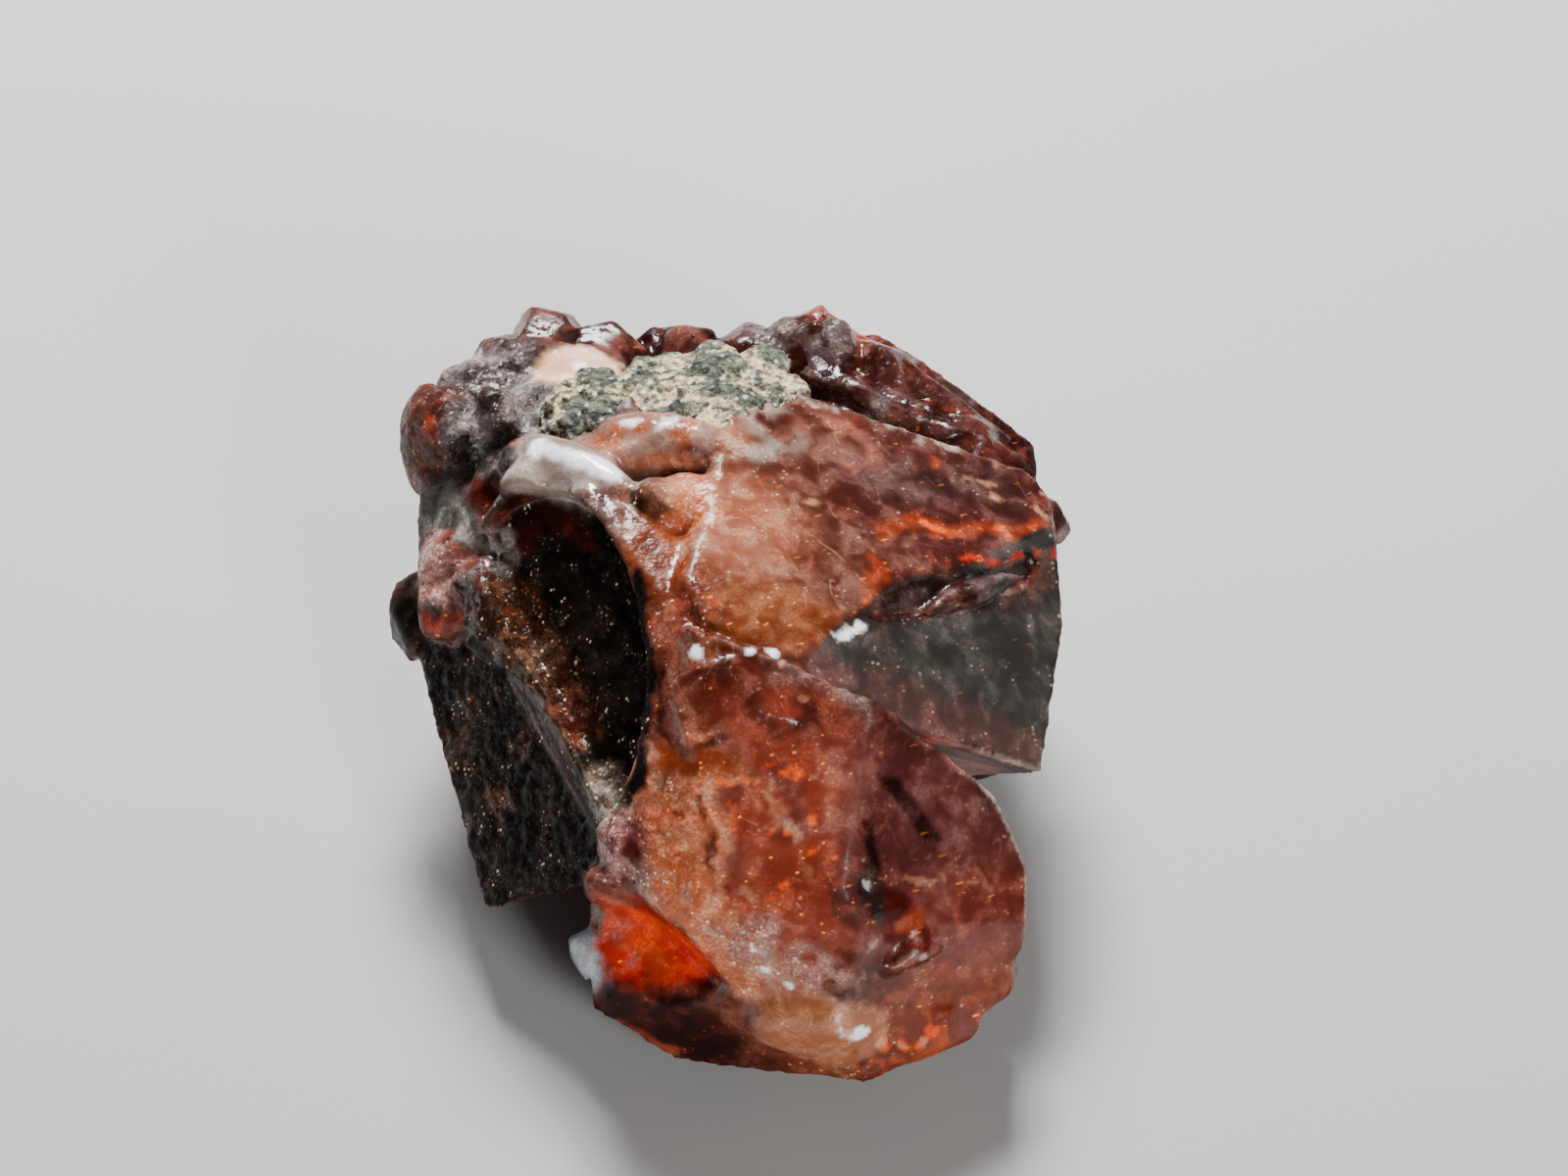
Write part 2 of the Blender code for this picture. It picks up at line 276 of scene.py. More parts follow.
# Each finish: what it is, its colour, and its traits in hundredths, in the order above. haze: how
# much of the surface is milky and not clear; pits, glints, sparks, veils: how much of each it
# shows, glints being painted sparkles and sparks painted orange flashes; rough: how dull it is;
# fire: how much painted glow it gives off, for light that comes through from inside; gloss: how
# much it shines like glass.
FINISHES = {
    "deep_brown": ("Ordinary dark zircon", (0.075, 0.018, 0.012), (88, 25, 30, 30, 15, 26, 3, 30)),
    "maroon": ("Shaded dark zircon", (0.038, 0.008, 0.007), (92, 20, 15, 20, 5, 24, 2, 16)),
    "brick": ("The front crystal's red", (0.34, 0.07, 0.04), (94, 4, 35, 90, 35, 20, 20, 25)),
    "salmon_haze": ("Milky crystal top", (0.38, 0.135, 0.078), (98, 4, 60, 10, 50, 24, 10, 0)),
    "rose_haze": ("Thin crystal haze", (0.104, 0.031, 0.021), (95, 2, 40, 25, 35, 20, 8, 18)),
    "rose_dark": ("Deep crystal red", (0.09, 0.024, 0.02), (93, 2, 30, 35, 20, 16, 6, 35)),
    "orange_brown": ("Light through stone", (0.19, 0.043, 0.01), (96, 10, 50, 60, 15, 26, 15, 5)),
    # Painted grey that stands for a reflection on the front face.
    "slate": ("Grey front face", (0.048, 0.042, 0.035), (96, 2, 45, 10, 10, 20, 0, 15)),
    "mauve": ("Greyish pink faces", (0.15, 0.043, 0.038), (92, 2, 25, 20, 15, 18, 4, 30)),
    # Near black partly from the stone and partly as painted shade on faces turned from the light.
    "black_broken": ("Dark broken faces", (0.011, 0.0065, 0.005), (100, 28, 85, 5, 0, 36, 0, 2)),
    "brown_stripe": ("Lumpy dark step", (0.075, 0.026, 0.012), (100, 80, 120, 25, 10, 30, 4, 25)),
    "gold_specks": ("Glittering corner", (0.15, 0.1, 0.07), (100, 90, 160, 30, 0, 28, 5, 35)),
    "pale_spine": ("Worn pale ridge", (0.46, 0.16, 0.085), (98, 35, 90, 45, 25, 24, 12, 20)),
    "melted": ("Wavy worn orange parts", (0.6, 0.19, 0.09), (97, 55, 110, 90, 60, 22, 25, 18)),
    # Its pale colour is partly painted sheen.
    "glossy_ridge": ("Silvery smooth ridge", (0.44, 0.34, 0.29), (100, 4, 10, 0, 20, 16, 0, 100)),
    "silver_crust": ("Crusty grey parts", (0.26, 0.23, 0.22), (100, 90, 90, 5, 15, 28, 0, 18)),
    "dark_crust": ("Dark crusty parts", (0.05, 0.036, 0.036), (100, 90, 80, 10, 10, 26, 0, 18)),
    "green_face": ("Striped grey face", (0.085, 0.08, 0.07), (100, 20, 20, 0, 10, 30, 0, 10)),
    "dark_red": ("Deep pits", (0.1, 0.009, 0.005), (100, 15, 15, 20, 0, 30, 4, 0)),
    "red_nodule": ("Rounded red grain", (0.085, 0.018, 0.01), (100, 35, 35, 90, 0, 40, 8, 3)),
    "pink_lumps": ("Small pink grains", (0.46, 0.22, 0.19), (100, 90, 150, 60, 25, 22, 10, 45)),
    "ember": ("Glowing orange red", (0.46, 0.018, 0.0006), (95, 12, 0, 60, 0, 35, 75, 5)),
    "ember_faint": ("Red glow near an edge", (0.42, 0.065, 0.02), (90, 8, 20, 100, 10, 20, 35, 15)),
    "red_black": ("Shaded red face", (0.034, 0.0024, 0.0012), (100, 10, 3, 12, 0, 45, 5, 0)),
    "green_black": ("Dark grains and cracks", (0.014, 0.015, 0.013), (100, 20, 10, 0, 0, 30, 0, 5)),
    "fibrous_white": ("Pale fibres", (0.4, 0.36, 0.32), (100, 60, 70, 0, 20, 35, 0, 20)),
    "pink_pebble": ("Pale rounded grain", (0.95, 0.59, 0.41), (100, 12, 15, 0, 15, 28, 35, 15)),
    "salmon_lump": ("Lump at the foot", (0.46, 0.175, 0.08), (100, 6, 35, 30, 60, 22, 16, 70)),
    "amber": ("Clear orange lumps", (0.22, 0.035, 0.007), (96, 15, 55, 100, 0, 30, 30, 30)),
    "silvery": ("Bluish white grain", (0.4, 0.42, 0.46), (100, 5, 10, 0, 20, 16, 0, 90)),
    # Painted white highlights, which also glow.
    "painted_highlight": ("Faces that flash white", (1.0, 1.0, 1.0), (100, 5, 0, 0, 0, 20, 90, 50)),
    "dark_line": ("Deep brown seams", (0.055, 0.01, 0.006), (100, 15, 0, 0, 0, 30, 0, 10)),
    "pale_line": ("Bright inner lines", (0.7, 0.34, 0.19), (100, 0, 0, 0, 0, 25, 10, 20)),
    # Painted glowing lines: they give off light.
    "fire_line": ("Thin orange-red lines", (0.8, 0.11, 0.015), (100, 0, 0, 0, 0, 30, 55, 10)),
    "grey_mauve": ("Dark crystal top", (0.06, 0.028, 0.026), (97, 0, 35, 10, 10, 20, 0, 10)),
    "dull_red": ("Worn red edge", (0.2, 0.045, 0.03), (97, 10, 20, 70, 20, 60, 8, 0)),
    "red_spine": ("Reddish brown ridge", (0.2, 0.055, 0.034), (97, 40, 95, 60, 35, 24, 12, 15)),
    "rose_lumps": ("Dark pink grains", (0.21, 0.075, 0.075), (100, 70, 130, 60, 20, 22, 6, 45)),
    "sugar": ("Glittering pale edge", (0.52, 0.26, 0.17), (100, 90, 160, 40, 0, 30, 10, 20)),
    # Painted pale highlights along edges.
    "rim_light": ("Worn pale edges", (0.58, 0.46, 0.39), (100, 20, 40, 0, 0, 22, 0, 30)),
}

# Flashes on the front crystal.
FRONT_SPARKS = (
    (1, -5.4, 10.1), (0.6, -5.8, 9.8), (1.4, -5.6, 10), (1.4, -6.8, 9), (1.1, -6.7, 9),
    (2.2, -6.7, 9.2), (2.1, -7.3, 8.7), (2.7, -7.4, 8.6), (1.1, -8.3, 7.4), (1.4, -7.8, 8),
)

UPPER_TOP = face(UPPER, -3, 71.5, 4.22)
UPPER_FRONT = face(UPPER, -33, 45, 4.5)
# Lines of light inside the big crystal.
RIGHT_GLOW = ((3.7, -0.6, 11.5), (4, 0.1, 11.4), (3.9, 1, 11.5))
LOWER_GLOW = ((4.3, 2.3, 11.3), (5.3, 3, 11), (6.5, 3.2, 10.6), (7.9, 3.6, 10.2), (9.1, 4.3, 9.8))
OUTER_ARC = ((7.6, 6.2, 10.3), (8.4, 6, 10), (9, 5.5, 9.8), (9.2, 4.6, 9.7))
# Its rear edge, the right edge of the hollow, and the orange band under the front block.
REAR_EDGE = ((1.4, 7.8, 12.4), (2.3, 7, 12.1), (4.4, 7, 11.4), (6.6, 6.5, 10.7), (8.6, 6.4, 10))
HOLLOW_EDGE = (
    (-2.75, -0.5, 12.2), (-2.5, -1.35, 11.7), (-2.4, -2.2, 11.2), (-2.35, -2.8, 10.7),
    (-2.45, -3.4, 10.1), (-2.6, -4.2, 9.45), (-2.7, -4.8, 8.9), (-3, -5.1, 8.4),
)
ORANGE_BAND = ((-2, -4.7, 9.7), (-1.2, -5.3, 10.1), (-0.1, -5.45, 10.1))
# The dark crystals behind the pale pebble.
BEHIND_PEBBLE = streak((-6, 11.6, 10.8), (-1.5, 11.9, 10.4), 1.6)

# What covers what, each over those before it.
COVERINGS = (
    ("brick", patches(0.33, 0.05, 0.3), 0.7),
    ("maroon", patches(0.4, 0, 0.2, 2), 0.8),
    ("silver_crust", both(patches(0.6, 0.12, 0.3), looking(90, 60, -0.2, 0.5)), 0.5),
    ("maroon", both(spot((5.5, 9, 9.5), (6, 3, 3)), looking(90, 40, -0.1, 0.4)), 0.85),
    # The big crystal's top.
    ("rose_haze", face(UPPER, -30, 76, 4.92), 1),
    ("rose_haze", UPPER_TOP, 1),
    ("rose_dark", both(UPPER_TOP, spot((6.9, 4.6, 10.6), (4, 3.2, 1.9), 0.5)), 0.95),
    ("grey_mauve", both(UPPER_TOP, streak((3.9, 4.4, 11.5), (7.6, 5.3, 10.4), 0.9, 0.6)), 0.75),
    ("brick", both(UPPER_TOP, flecks(1.1, (2.9, 5.6, 11.9), (1.3, 1.2, 1))), 0.45),
    ("salmon_haze", spot((-0.1, 1.3, 12.6), (2.2, 2.1, 1.4), 0.5), 0.95),
    ("orange_brown", spot((0.4, -1.7, 12.2), (3, 1.25, 1.2), 0.35), 0.9),
    ("orange_brown", streak((-1.5, 1, 12.5), (-1.2, -1.6, 12.1), 0.5), 0.95),
    ("rim_light", both(spot((0.6, 5.6, 12.8), (1.6, 1.5, 0.9)), patches(1.4, -0.25, 0.2)), 0.6),
    ("ember_faint", line(0.3, *RIGHT_GLOW), 0.6),
    ("fire_line", dashed(0.12, 1.6, *RIGHT_GLOW), 0.9),
    ("ember_faint", line(0.3, *LOWER_GLOW), 0.5),
    ("fire_line", dashed(0.12, 1.4, *LOWER_GLOW), 0.85),
    ("ember_faint", flecks(1.8, (5.4, 5.6, 11), (0.7, 0.4, 0.4)), 0.7),
    ("pale_line", dashed(0.1, 1, (7.4, 5, 10.3), (8.5, 4.9, 10), (9.2, 4.5, 9.7)), 0.7),
    ("pale_line", dashed(0.11, 0.9, *OUTER_ARC), 0.8),
    ("pale_line", dashed(0.09, 1, (5.2, 4.5, 11.1), (6.5, 5.4, 10.6), (7.4, 5.5, 10.4)), 0.5),
    ("pale_line", dashed(0.13, 1.4, (1.8, 2.8, 12.2), (3.2, 3, 11.7)), 0.7),
    ("rim_light", dashed(0.2, 2.2, *REAR_EDGE), 0.8),
    # Its front, painted grey as a reflection.
    ("slate", UPPER_FRONT, 1),
    ("mauve", both(UPPER_FRONT, streak((2.2, -3.3, 11.4), (8.3, -2.2, 6.9), 0.9)), 0.5),
    ("silver_crust", flecks(1, (5.6, 0.2, 10.2), (1.2, 0.8, 0.7)), 0.3),
    ("maroon", streak((3.6, -0.9, 11.6), (8.7, 2.7, 9.2), 0.75), 0.6),
    ("green_black", broken(streak((3.6, -0.9, 11.6), (7.5, 1.5, 9.7), 0.35), 1.4), 0.95),
    ("green_black", spot((7.1, 1.3, 10.1), (0.8, 0.7, 0.5)), 0.9),
    ("ember", broken(streak((6.4, 2, 10.4), (9.3, 3.6, 9.3), 0.16)), 0.7),
    # The front crystal.
    ("brick", both(spot((1, -6.5, 8.5), (3.6, 4, 4)), looking(-95, 45, 0.2, 0.6)), 1),
    ("rose_haze", flecks(1, (0.2, -4.1, 11.2), (1.9, 1.4, 1)), 0.7),
    ("melted", spot((-1.4, -6.2, 8.8), (1.3, 3.2, 2.4)), 0.9),
    ("maroon", dashed(0.35, 1.2, (1.9, -3.2, 12), (2.2, -4.6, 10.9), (1.2, -5.2, 10.3)), 0.6),
    ("mauve", both(spot((1.6, -6.2, 9.2), (2.4, 2.6, 2)), patches(0.8, 0.05, 0.3)), 0.6),
    ("pale_line", dashed(0.12, 1.2, (0.9, -5.8, 9.8), (1.6, -7, 8.8), (2.6, -8.2, 7.6)), 0.5),
    ("pale_line", dashed(0.12, 1.2, (1.5, -3.2, 11.9), (1.9, -4.2, 11.3), (1, -5, 10.7)), 0.8),
    ("fire_line", marks(0.1, *FRONT_SPARKS), 0.95),
    ("mauve", both(spot((5.2, -6.4, 7.6), (3.4, 3.6, 3.6)), looking(-52, 32, 0.8, 0.95)), 1),
    ("brick", both(spot((6.4, -7.2, 5.2), (3.2, 2.4, 1.9), 0.4), looking(-55, 25, 0.5, 0.9)), 0.4),
    ("amber", both(spot((5.6, -8.2, 2.6), (3.8, 2.6, 2.1), 0.5), looking(-61, 13, 0.2, 0.7)), 0.85),
    ("maroon", panel((3.9, -5.5, 9.9), (4.5, -5.3, 9.5), (5.8, -6, 7.7), (5.2, -6.3, 8)), 1),
    ("maroon", panel((3.4, -6.4, 9.4), (3.8, -6.6, 8.9), (4.1, -7.4, 7.8), (3.3, -7.3, 8.6)), 1),
    ("grey_mauve", panel((3.3, -7, 8.9), (4.1, -7.4, 7.8), (4.6, -7.9, 6.75), (3.9, -8.5, 6.4),
        (2.8, -8.35, 7.3), (2.7, -8, 7.9)), 1),
    ("dark_red", panel((4.1, -7.6, 7.6), (4.75, -7.4, 7.15), (5.45, -7.8, 6), (5.4, -8.3, 5.6),
        (4.1, -8.5, 6.3)), 1),
    ("ember_faint", flecks(1.3, (4.9, -8.1, 6.6), (0.6, 0.6, 0.7)), 0.6),
    ("pale_line", dashed(0.09, 1, (4.7, -7.2, 7.3), (6.4, -6.6, 6.5), (8.2, -5.8, 5.7)), 0.5),
    ("rim_light", dashed(0.16, 1.8, (3.8, -8.7, 6.4), (4.5, -8.6, 6.1), (5.3, -8.5, 5.6)), 0.9),
    ("green_black", dashed(0.17, 1.4, (6.8, -4.4, 8.3), (7.3, -4.9, 7.5), (6.7, -6, 6.8)), 0.6),
    ("dull_red", line(0.4, (3.4, -4.7, 10.9), (3.5, -5.9, 9.8), (3.3, -6.9, 9), (3, -7.9, 7.9),
        (3.9, -8.6, 6.6)), 0.75),
    ("rim_light", worn(spot((7.4, -5, 6.6), (1.8, 3.4, 2.4))), 0.5),
    ("orange_brown", face(LOWER, -107, 3, 6), 0.5),
    # The spine between the hollow and the front.
    ("red_spine", both(streak((-2.2, 2, 12.4), (-1.7, -2, 11.4), 1.5), looking(-139, 41, 0.5, 0.8)),
        0.95),
    ("red_spine", both(streak((-1.7, -2, 11.4), (-2.6, -5.5, 8), 1.5), looking(-139, 41, 0.3, 0.7)),
        0.95),
    ("melted", spot((-1.7, -6.6, 8.2), (1.1, 1.5, 1.2)), 0.85),
    ("dark_red", line(0.17, (-2.1, -6.3, 8.4), (-1.5, -7, 8), (-1.1, -7.7, 7.7)), 0.85),
    ("dark_red", line(0.14, (-1.8, -5.8, 9), (-1.2, -6.6, 8.7), (-0.7, -7.2, 8.1)), 0.8),
    # A block with a pale frame and deep red inside, then a clear orange band.
    ("salmon_haze", dashed(0.25, 1.6, (-1.6, -2.5, 11.8), (-1.6, -3.2, 11.2), (-1.5, -4.1, 10.7)),
        0.6),
    ("dark_red", spot((-0.85, -4.2, 11.2), (0.8, 0.9, 0.9)), 0.45),
    ("dark_red", spot((0.35, -3.7, 11.8), (0.45, 0.8, 0.6)), 0.4),
    ("dark_line", line(0.14, (-1.95, -2.8, 11), (-1.95, -4, 10.15), (-1.6, -4.5, 10.1),
        (-0.85, -5.2, 10.5), (-0.1, -5, 10.65)), 0.85),
    ("orange_brown", line(0.36, *ORANGE_BAND), 0.9),
    ("ember_faint", line(0.3, *ORANGE_BAND), 0.45),
    ("sugar", dashed(0.22, 2, (-1, -5.8, 9.7), (0.3, -5.7, 9.9)), 0.7),
    ("fire_line", dashed(0.16, 1.7, (-0.9, -5.8, 9.7), (0.5, -5.7, 9.9), (1.8, -5.5, 10.1)), 0.9),
    ("dull_red", line(0.22, (-1.75, -3.4, 10.8), (-1.3, -4.9, 10.2)), 0.9),
    ("sugar", dashed(0.28, 2.2, (-2.4, -5, 9.1), (-1.6, -5.9, 9), (-1, -6.9, 8.5)), 0.8),
    ("orange_brown", spot((-2.3, 0.7, 12.5), (1.3, 2, 0.8)), 0.7),
    ("amber", spot((-1.75, 0.6, 12.5), (0.65, 1.4, 0.6), 0.2), 0.85),
    ("sugar", dashed(0.35, 1.8, (-0.1, 4.6, 12.9), (-0.7, 2.6, 12.9), (-1.1, 0.9, 12.6),
        (-1.2, -0.6, 12.4)), 0.55),
    ("pale_spine", streak((-2.4, -4.6, 8.9), (-3.4, -6, 6), 0.8), 0.8),
    # The dark crystal at the left, and the hollow, near black: dark stone with painted shade on
    # faces turned from the light.
    ("black_broken", both(face(LEFT, -145, 34, 2.8, 0.4), spot((-7, -1.5, 5.5), (5, 7, 5.2))), 1),
    ("black_broken", face(HOLLOW_FLOOR, -136, 42, 0, 0.3), 1),
    ("black_broken", streak((-6.7, 0.6, 9.4), (-3.7, -4.6, 7.4), 1.3), 1),
    ("black_broken", line(0.3, *HOLLOW_EDGE), 1),
    ("brown_stripe", streak((-6.6, 1.3, 9.7), (-4.7, -2, 8.3), 0.95, 0.3), 0.95),
    ("dark_red", line(0.35, (-6.3, 2.9, 10.5), (-5.2, 2.9, 11.3), (-4.1, 2, 11.5)), 0.5),
    ("gold_specks", broken(streak((-6.6, 1, 9.6), (-5.2, -1.2, 8.6), 0.8)), 0.15),
    ("dark_red", spot((-4.6, -2.1, 8.3), 0.5), 0.4),
    ("brown_stripe", both(spot((-7.8, -2, 4.5), (2.6, 7, 5)), patches(0.9, 0.08, 0.35)), 0.7),
    ("maroon", face(LEFT, 180, -34, 4), 0.8),
    ("gold_specks", spot((-3.5, -4.5, 7.6), (0.9, 1.1, 0.9)), 0.95),
    ("fibrous_white", flecks(2.6, (-3.5, -4.5, 7.6), (0.7, 0.9, 0.8)), 0.5),
    # Painted white highlights on the glittering corner.
    ("painted_highlight", marks(0.11, (-3.75, -4.6, 7.85), (-3.3, -4.9, 7.9), (-3.6, -4, 7.9)), 0.8),
    # Below the spine, where the black face gives way.
    ("melted", spot((-1.4, -6.9, 7.3), (1.5, 1.3, 1.6)), 0.95),
    ("rose_lumps", spot((-2.9, -6.1, 7.3), (0.9, 0.9, 1.4)), 0.95),
    ("pink_lumps", flecks(2, (-3, -6.2, 6.9), (0.9, 0.9, 1.3)), 0.7),
    ("dark_red", spot((-2.7, -6.4, 7.6), 0.35), 0.9),
    ("melted", streak((-0.9, -7.9, 6.9), (0.4, -8.7, 5), 0.8), 0.8),
    ("pale_line", dashed(0.14, 1.4, (-0.77, -5.97, 9.58), (-0.32, -6.8, 8.92), (0.13, -7.56, 8.18),
        (0.55, -8.16, 7.25)), 0.5),
    ("pale_line", dashed(0.14, 1.7, (-1.26, -6.03, 9.24), (-0.94, -6.73, 8.43), (-0.51, -7.7, 7.93),
        (-0.06, -8.32, 6.81)), 0.5),
    ("sugar", dashed(0.16, 1.6, (-1.85, -6.39, 8.45), (-1.53, -7.27, 7.83), (-1.12, -8.03, 7.3),
        (-0.68, -8.33, 6.42)), 0.9),
    ("dark_red", dashed(0.13, 1.3, (-1.04, -6.02, 9.43), (-0.61, -6.85, 8.64), (-0.19, -7.72, 7.95),
        (0.26, -8.27, 6.97)), 0.8),
    ("dark_red", dashed(0.13, 1.5, (-1.63, -6.38, 8.64), (-1.26, -7.25, 8.01), (-0.85, -8.03, 7.51),
        (-0.38, -8.42, 6.4)), 0.8),
    ("fire_line", dashed(0.13, 1.6, (-0.19, -6.1, 9.52), (0.29, -6.91, 8.83), (0.74, -7.75, 7.99),
        (1.19, -8.32, 7.03)), 0.7),
    # The orange hollow and what is round it.
    ("red_black", spot((-1.9, -8, 2), (3.4, 1.8, 1.6)), 0.97),
    ("ember", spot((-2.5, -7.4, 4.9), (2.6, 1.5, 1.5), 0.2), 0.97),
    ("dark_red", spot((-3, -7, 6.1), (1.6, 1.3, 0.6)), 0.7),
    ("dark_red", flecks(1.2, (-3.2, -7.2, 5), (1.3, 1.3, 1.2)), 0.6),
    ("ember_faint", flecks(1.2, (-2.8, -7.6, 3.9), (1.3, 1.2, 0.5)), 0.6),
    ("dull_red", dashed(0.4, 1.6, (-3.9, -6.9, 4.1), (-2.9, -7.8, 3.4), (-1.6, -8.2, 3.3),
        (-0.8, -8.4, 3.6)), 0.8),
    ("ember_faint", dashed(0.35, 1.4, (-3.6, -7.5, 1.9), (-2.2, -8.2, 1.2), (-0.4, -8.7, 0.9)),
        0.45),
    ("pale_spine", streak((0.1, -8.4, 6.6), (1.5, -8.9, 4.8), 0.8), 0.75),
    ("glossy_ridge", dashed(0.4, 1.8, (0.7, -8.5, 6.2), (1, -8.9, 5.4), (1.6, -9.1, 4.9)), 0.7),
    ("sugar", dashed(0.35, 2.2, (0.3, -8.7, 5.6), (1, -8.9, 5.5), (1.8, -9.15, 5.1),
        (2.5, -9.4, 4.9)), 0.8),
    # Painted white highlights on the lumps.
    ("painted_highlight", marks(0.12, (0.9, -8.8, 5.6), (1.4, -9, 5.2), (0.4, -8.3, 6.6)), 0.8),
    ("pink_lumps", broken(streak((0.3, -8.5, 6.6), (2.6, -9.2, 5.2), 0.9), 1.6), 0.75),
    # More painted white highlights on the lumps.
    ("painted_highlight", marks(0.09, (0.6, -8.6, 6.2), (1.2, -8.9, 5.6), (1.8, -8.9, 5.9),
        (2.1, -8.8, 6.4)), 0.8),
    ("salmon_lump", spot((2.45, -9.3, 3.7), (1.8, 1.8, 1.4), 0.12), 0.97),
    ("amber", spot((5.7, -8.5, 2.6), (1.8, 1.5, 1.3)), 0.9),
    ("silvery", spot((-4.2, -6.3, 3.2), (0.65, 0.9, 0.95)), 1),
    # The crusty crystal at the upper left.
    ("silver_crust", face(CORNER, 163, 67, 5.1, 0.9), 0.9),
    ("silver_crust", spot((-7, 8.4, 10.9), (2.6, 3, 1.4)), 0.85),
    ("dark_crust", flecks(0.9, (-6.8, 7.2, 11.2), (2.4, 3.4, 1.4)), 0.65),
    ("green_face", both(face(CORNER, -154, 46, 4.3), spot((-8.9, 5.2, 8.7), (2.4, 3.2, 3.6))),
        0.95),
    ("dark_red", spot((-7.4, 5, 10.4), (0.7, 0.7, 0.6)), 0.9),
    ("dark_red", spot((-6.6, 4, 10.8), (0.7, 0.6, 0.6)), 0.8),
    ("fibrous_white", spot((-6.9, 3.1, 9.9), (1, 0.9, 0.6)), 0.75),
    ("red_nodule", spot((-9.2, 8, 9.8), (1.4, 1.7, 2.3), 0.15), 0.97),
    ("pink_lumps", spot((-8.4, 3.7, 8.5), (1.2, 1.2, 0.9)), 0.95),
    ("brick", spot((-8.3, 2.6, 7.7), (0.9, 0.7, 0.4)), 0.95),
    ("ember", flecks(2.2, (-8.4, 2.5, 7.7), (0.7, 0.6, 0.25)), 0.6),
    ("green_black", spot((-9.6, 4.1, 6.3), (0.9, 1.1, 1.3)), 0.95),
    ("fibrous_white", dashed(0.45, 1.6, (-8.6, 4.9, 9.6), (-7.6, 3.6, 10.2), (-6.6, 3, 10.4)), 0.8),
    # Faces that flash: painted white highlights, and painted glowing orange flashes near the foot.
    ("painted_highlight", marks(0.17, (-1.25, -3.05, 11.9), (-1, -2.9, 12)), 1),
    ("painted_highlight", marks(0.13, (0.5, -3, 12.05), (1.15, -2.85, 11.95)), 1),
    ("painted_highlight", line(0.15, (2.7, -2.05, 11.5), (3.1, -1.8, 11.45), (3.5, -1.45, 11.4)), 1),
    ("fire_line", marks(0.2, (4.1, -9.4, 2.9), (4.7, -9.2, 2.7), (5.2, -9.05, 2.65),
        (5.6, -8.8, 2.8)), 0.9),
    ("pale_line", marks(0.13, (4, -9.4, 3), (4.6, -9.2, 2.7), (5.3, -9, 2.7)), 1),
    ("painted_highlight", line(0.2, (2.8, -9.5, 4.55), (3.2, -9.6, 4.1), (3.5, -9.6, 3.8)), 0.9),
    ("dull_red", worn(spot((1.4, -9.6, 3.2), (2.2, 1.2, 1.6))), 0.5),
    # The top.
    ("glossy_ridge", spot((-4.5, 3.9, 12.6), (2.5, 1.6, 1)), 0.95),
    ("pale_spine", spot((-2.1, 4.9, 12.6), (2.4, 1.1, 1)), 0.95),
    ("glossy_ridge", flecks(1.5, (-2.1, 4.9, 13.1), (2.2, 0.9, 0.5)), 0.6),
    ("melted", spot((-1.3, 2.3, 12.6), (1.1, 1.2, 0.8)), 0.9),
    # Painted white highlights along the ridge, the ledge and a worn edge.
    ("painted_highlight", line(0.36, (-5.6, 4.4, 12.9), (-4.2, 3.4, 13), (-3.4, 3, 13)), 0.9),
    ("painted_highlight", dashed(0.25, 1.8, (-3.2, 5, 13.3), (-1.2, 4.9, 13.3)), 0.8),
    ("painted_highlight", broken(worn(spot((-0.8, 3.3, 12.8), (0.8, 1.4, 0.6))), 2.4), 0.9),
    ("maroon", BEHIND_PEBBLE, 0.9),
    ("dull_red", broken(BEHIND_PEBBLE, 1.2), 0.6),
    ("pink_pebble", spot((-4.7, 9.3, 10.9), (1.4, 1.35, 1), 0.12), 0.97),
    # The first spot is painted shade in a small hole.
    ("green_black", spot((-2.8, 3.6, 12.6), (0.35, 0.35, 0.5)), 0.95),
    ("green_black", spot((-3.3, 5.9, 11.9), (0.5, 0.9, 0.6)), 0.9),
)

# Parts that are rounded and not cut by crystal faces.
ROUNDED = (
    spot((2.4, -8.7, 3.3), (2.6, 1.5, 1.7)),
    spot((-9, 8.1, 9.4), (1.4, 1.7, 2.3)),
    spot((-4.6, 9.6, 10.2), (2, 2, 1.6)),
    spot((-4.3, 3.7, 12.4), (3, 1.6, 1.3)),
    spot((-1.8, 4.8, 12.4), (2.9, 1.2, 1.2)),
    spot((-1.3, 2.4, 12.5), (1.6, 1.6, 1.1)),
    spot((5.8, -7.6, 2.6), (2.4, 1.8, 1.6)),
    spot((-8.2, 3.7, 8), (1.5, 1.6, 1.5)),
    spot((-1.9, -6.6, 7), (2, 1.9, 2.1)),
    streak((-2.6, -4.6, 8.4), (-3.7, -6.2, 5.2), 1.1),
    streak((-6.9, 1.9, 9.2), (-4.2, -2.6, 7.9), 0.9),
    spot((3.8, -7.9, 8.2), (0.9, 0.9, 1.2)),
    spot((4.8, -8.2, 7), (1.2, 1.2, 1.7)),
)


# ---- Settings ----


def colour(label, what, *rgb):
    return bpy.props.FloatVectorProperty(
        name=label, description=what, default=rgb, size=3, subtype="COLOR", min=0.0, max=1.0
    )


def length(label, what, metres):
    return bpy.props.FloatProperty(
        name=label, description=what, default=metres, unit="LENGTH", precision=5
    )


def watts(label, what, power):
    return bpy.props.FloatProperty(name=label, description=what, default=power, unit="POWER")


class ZirconSettings(bpy.types.PropertyGroup):
    """The zircon's surface sizes, and a colour for each finish."""

    grid: length("Surface grid", "Size of the squares of its surface", 0.00013)
    pit_size: length("Pit size", "Across one pit of the broken faces", 0.00034)
    pit_depth: length("Pit depth", "How deep the pits are", 0.0002)
    lump_size: length("Lump size", "Across one lump of the crusty parts", 0.0009)
    lump_height: length("Lump height", "How high those lumps stand", 0.00018)
    nick_depth: length("Nick depth", "How deep the worn edges are nicked", 0.00008)


for finish, (what, tint, _) in FINISHES.items():
    label = finish.replace("_", " ").capitalize()
    ZirconSettings.__annotations__[finish] = colour(label, what, *tint)


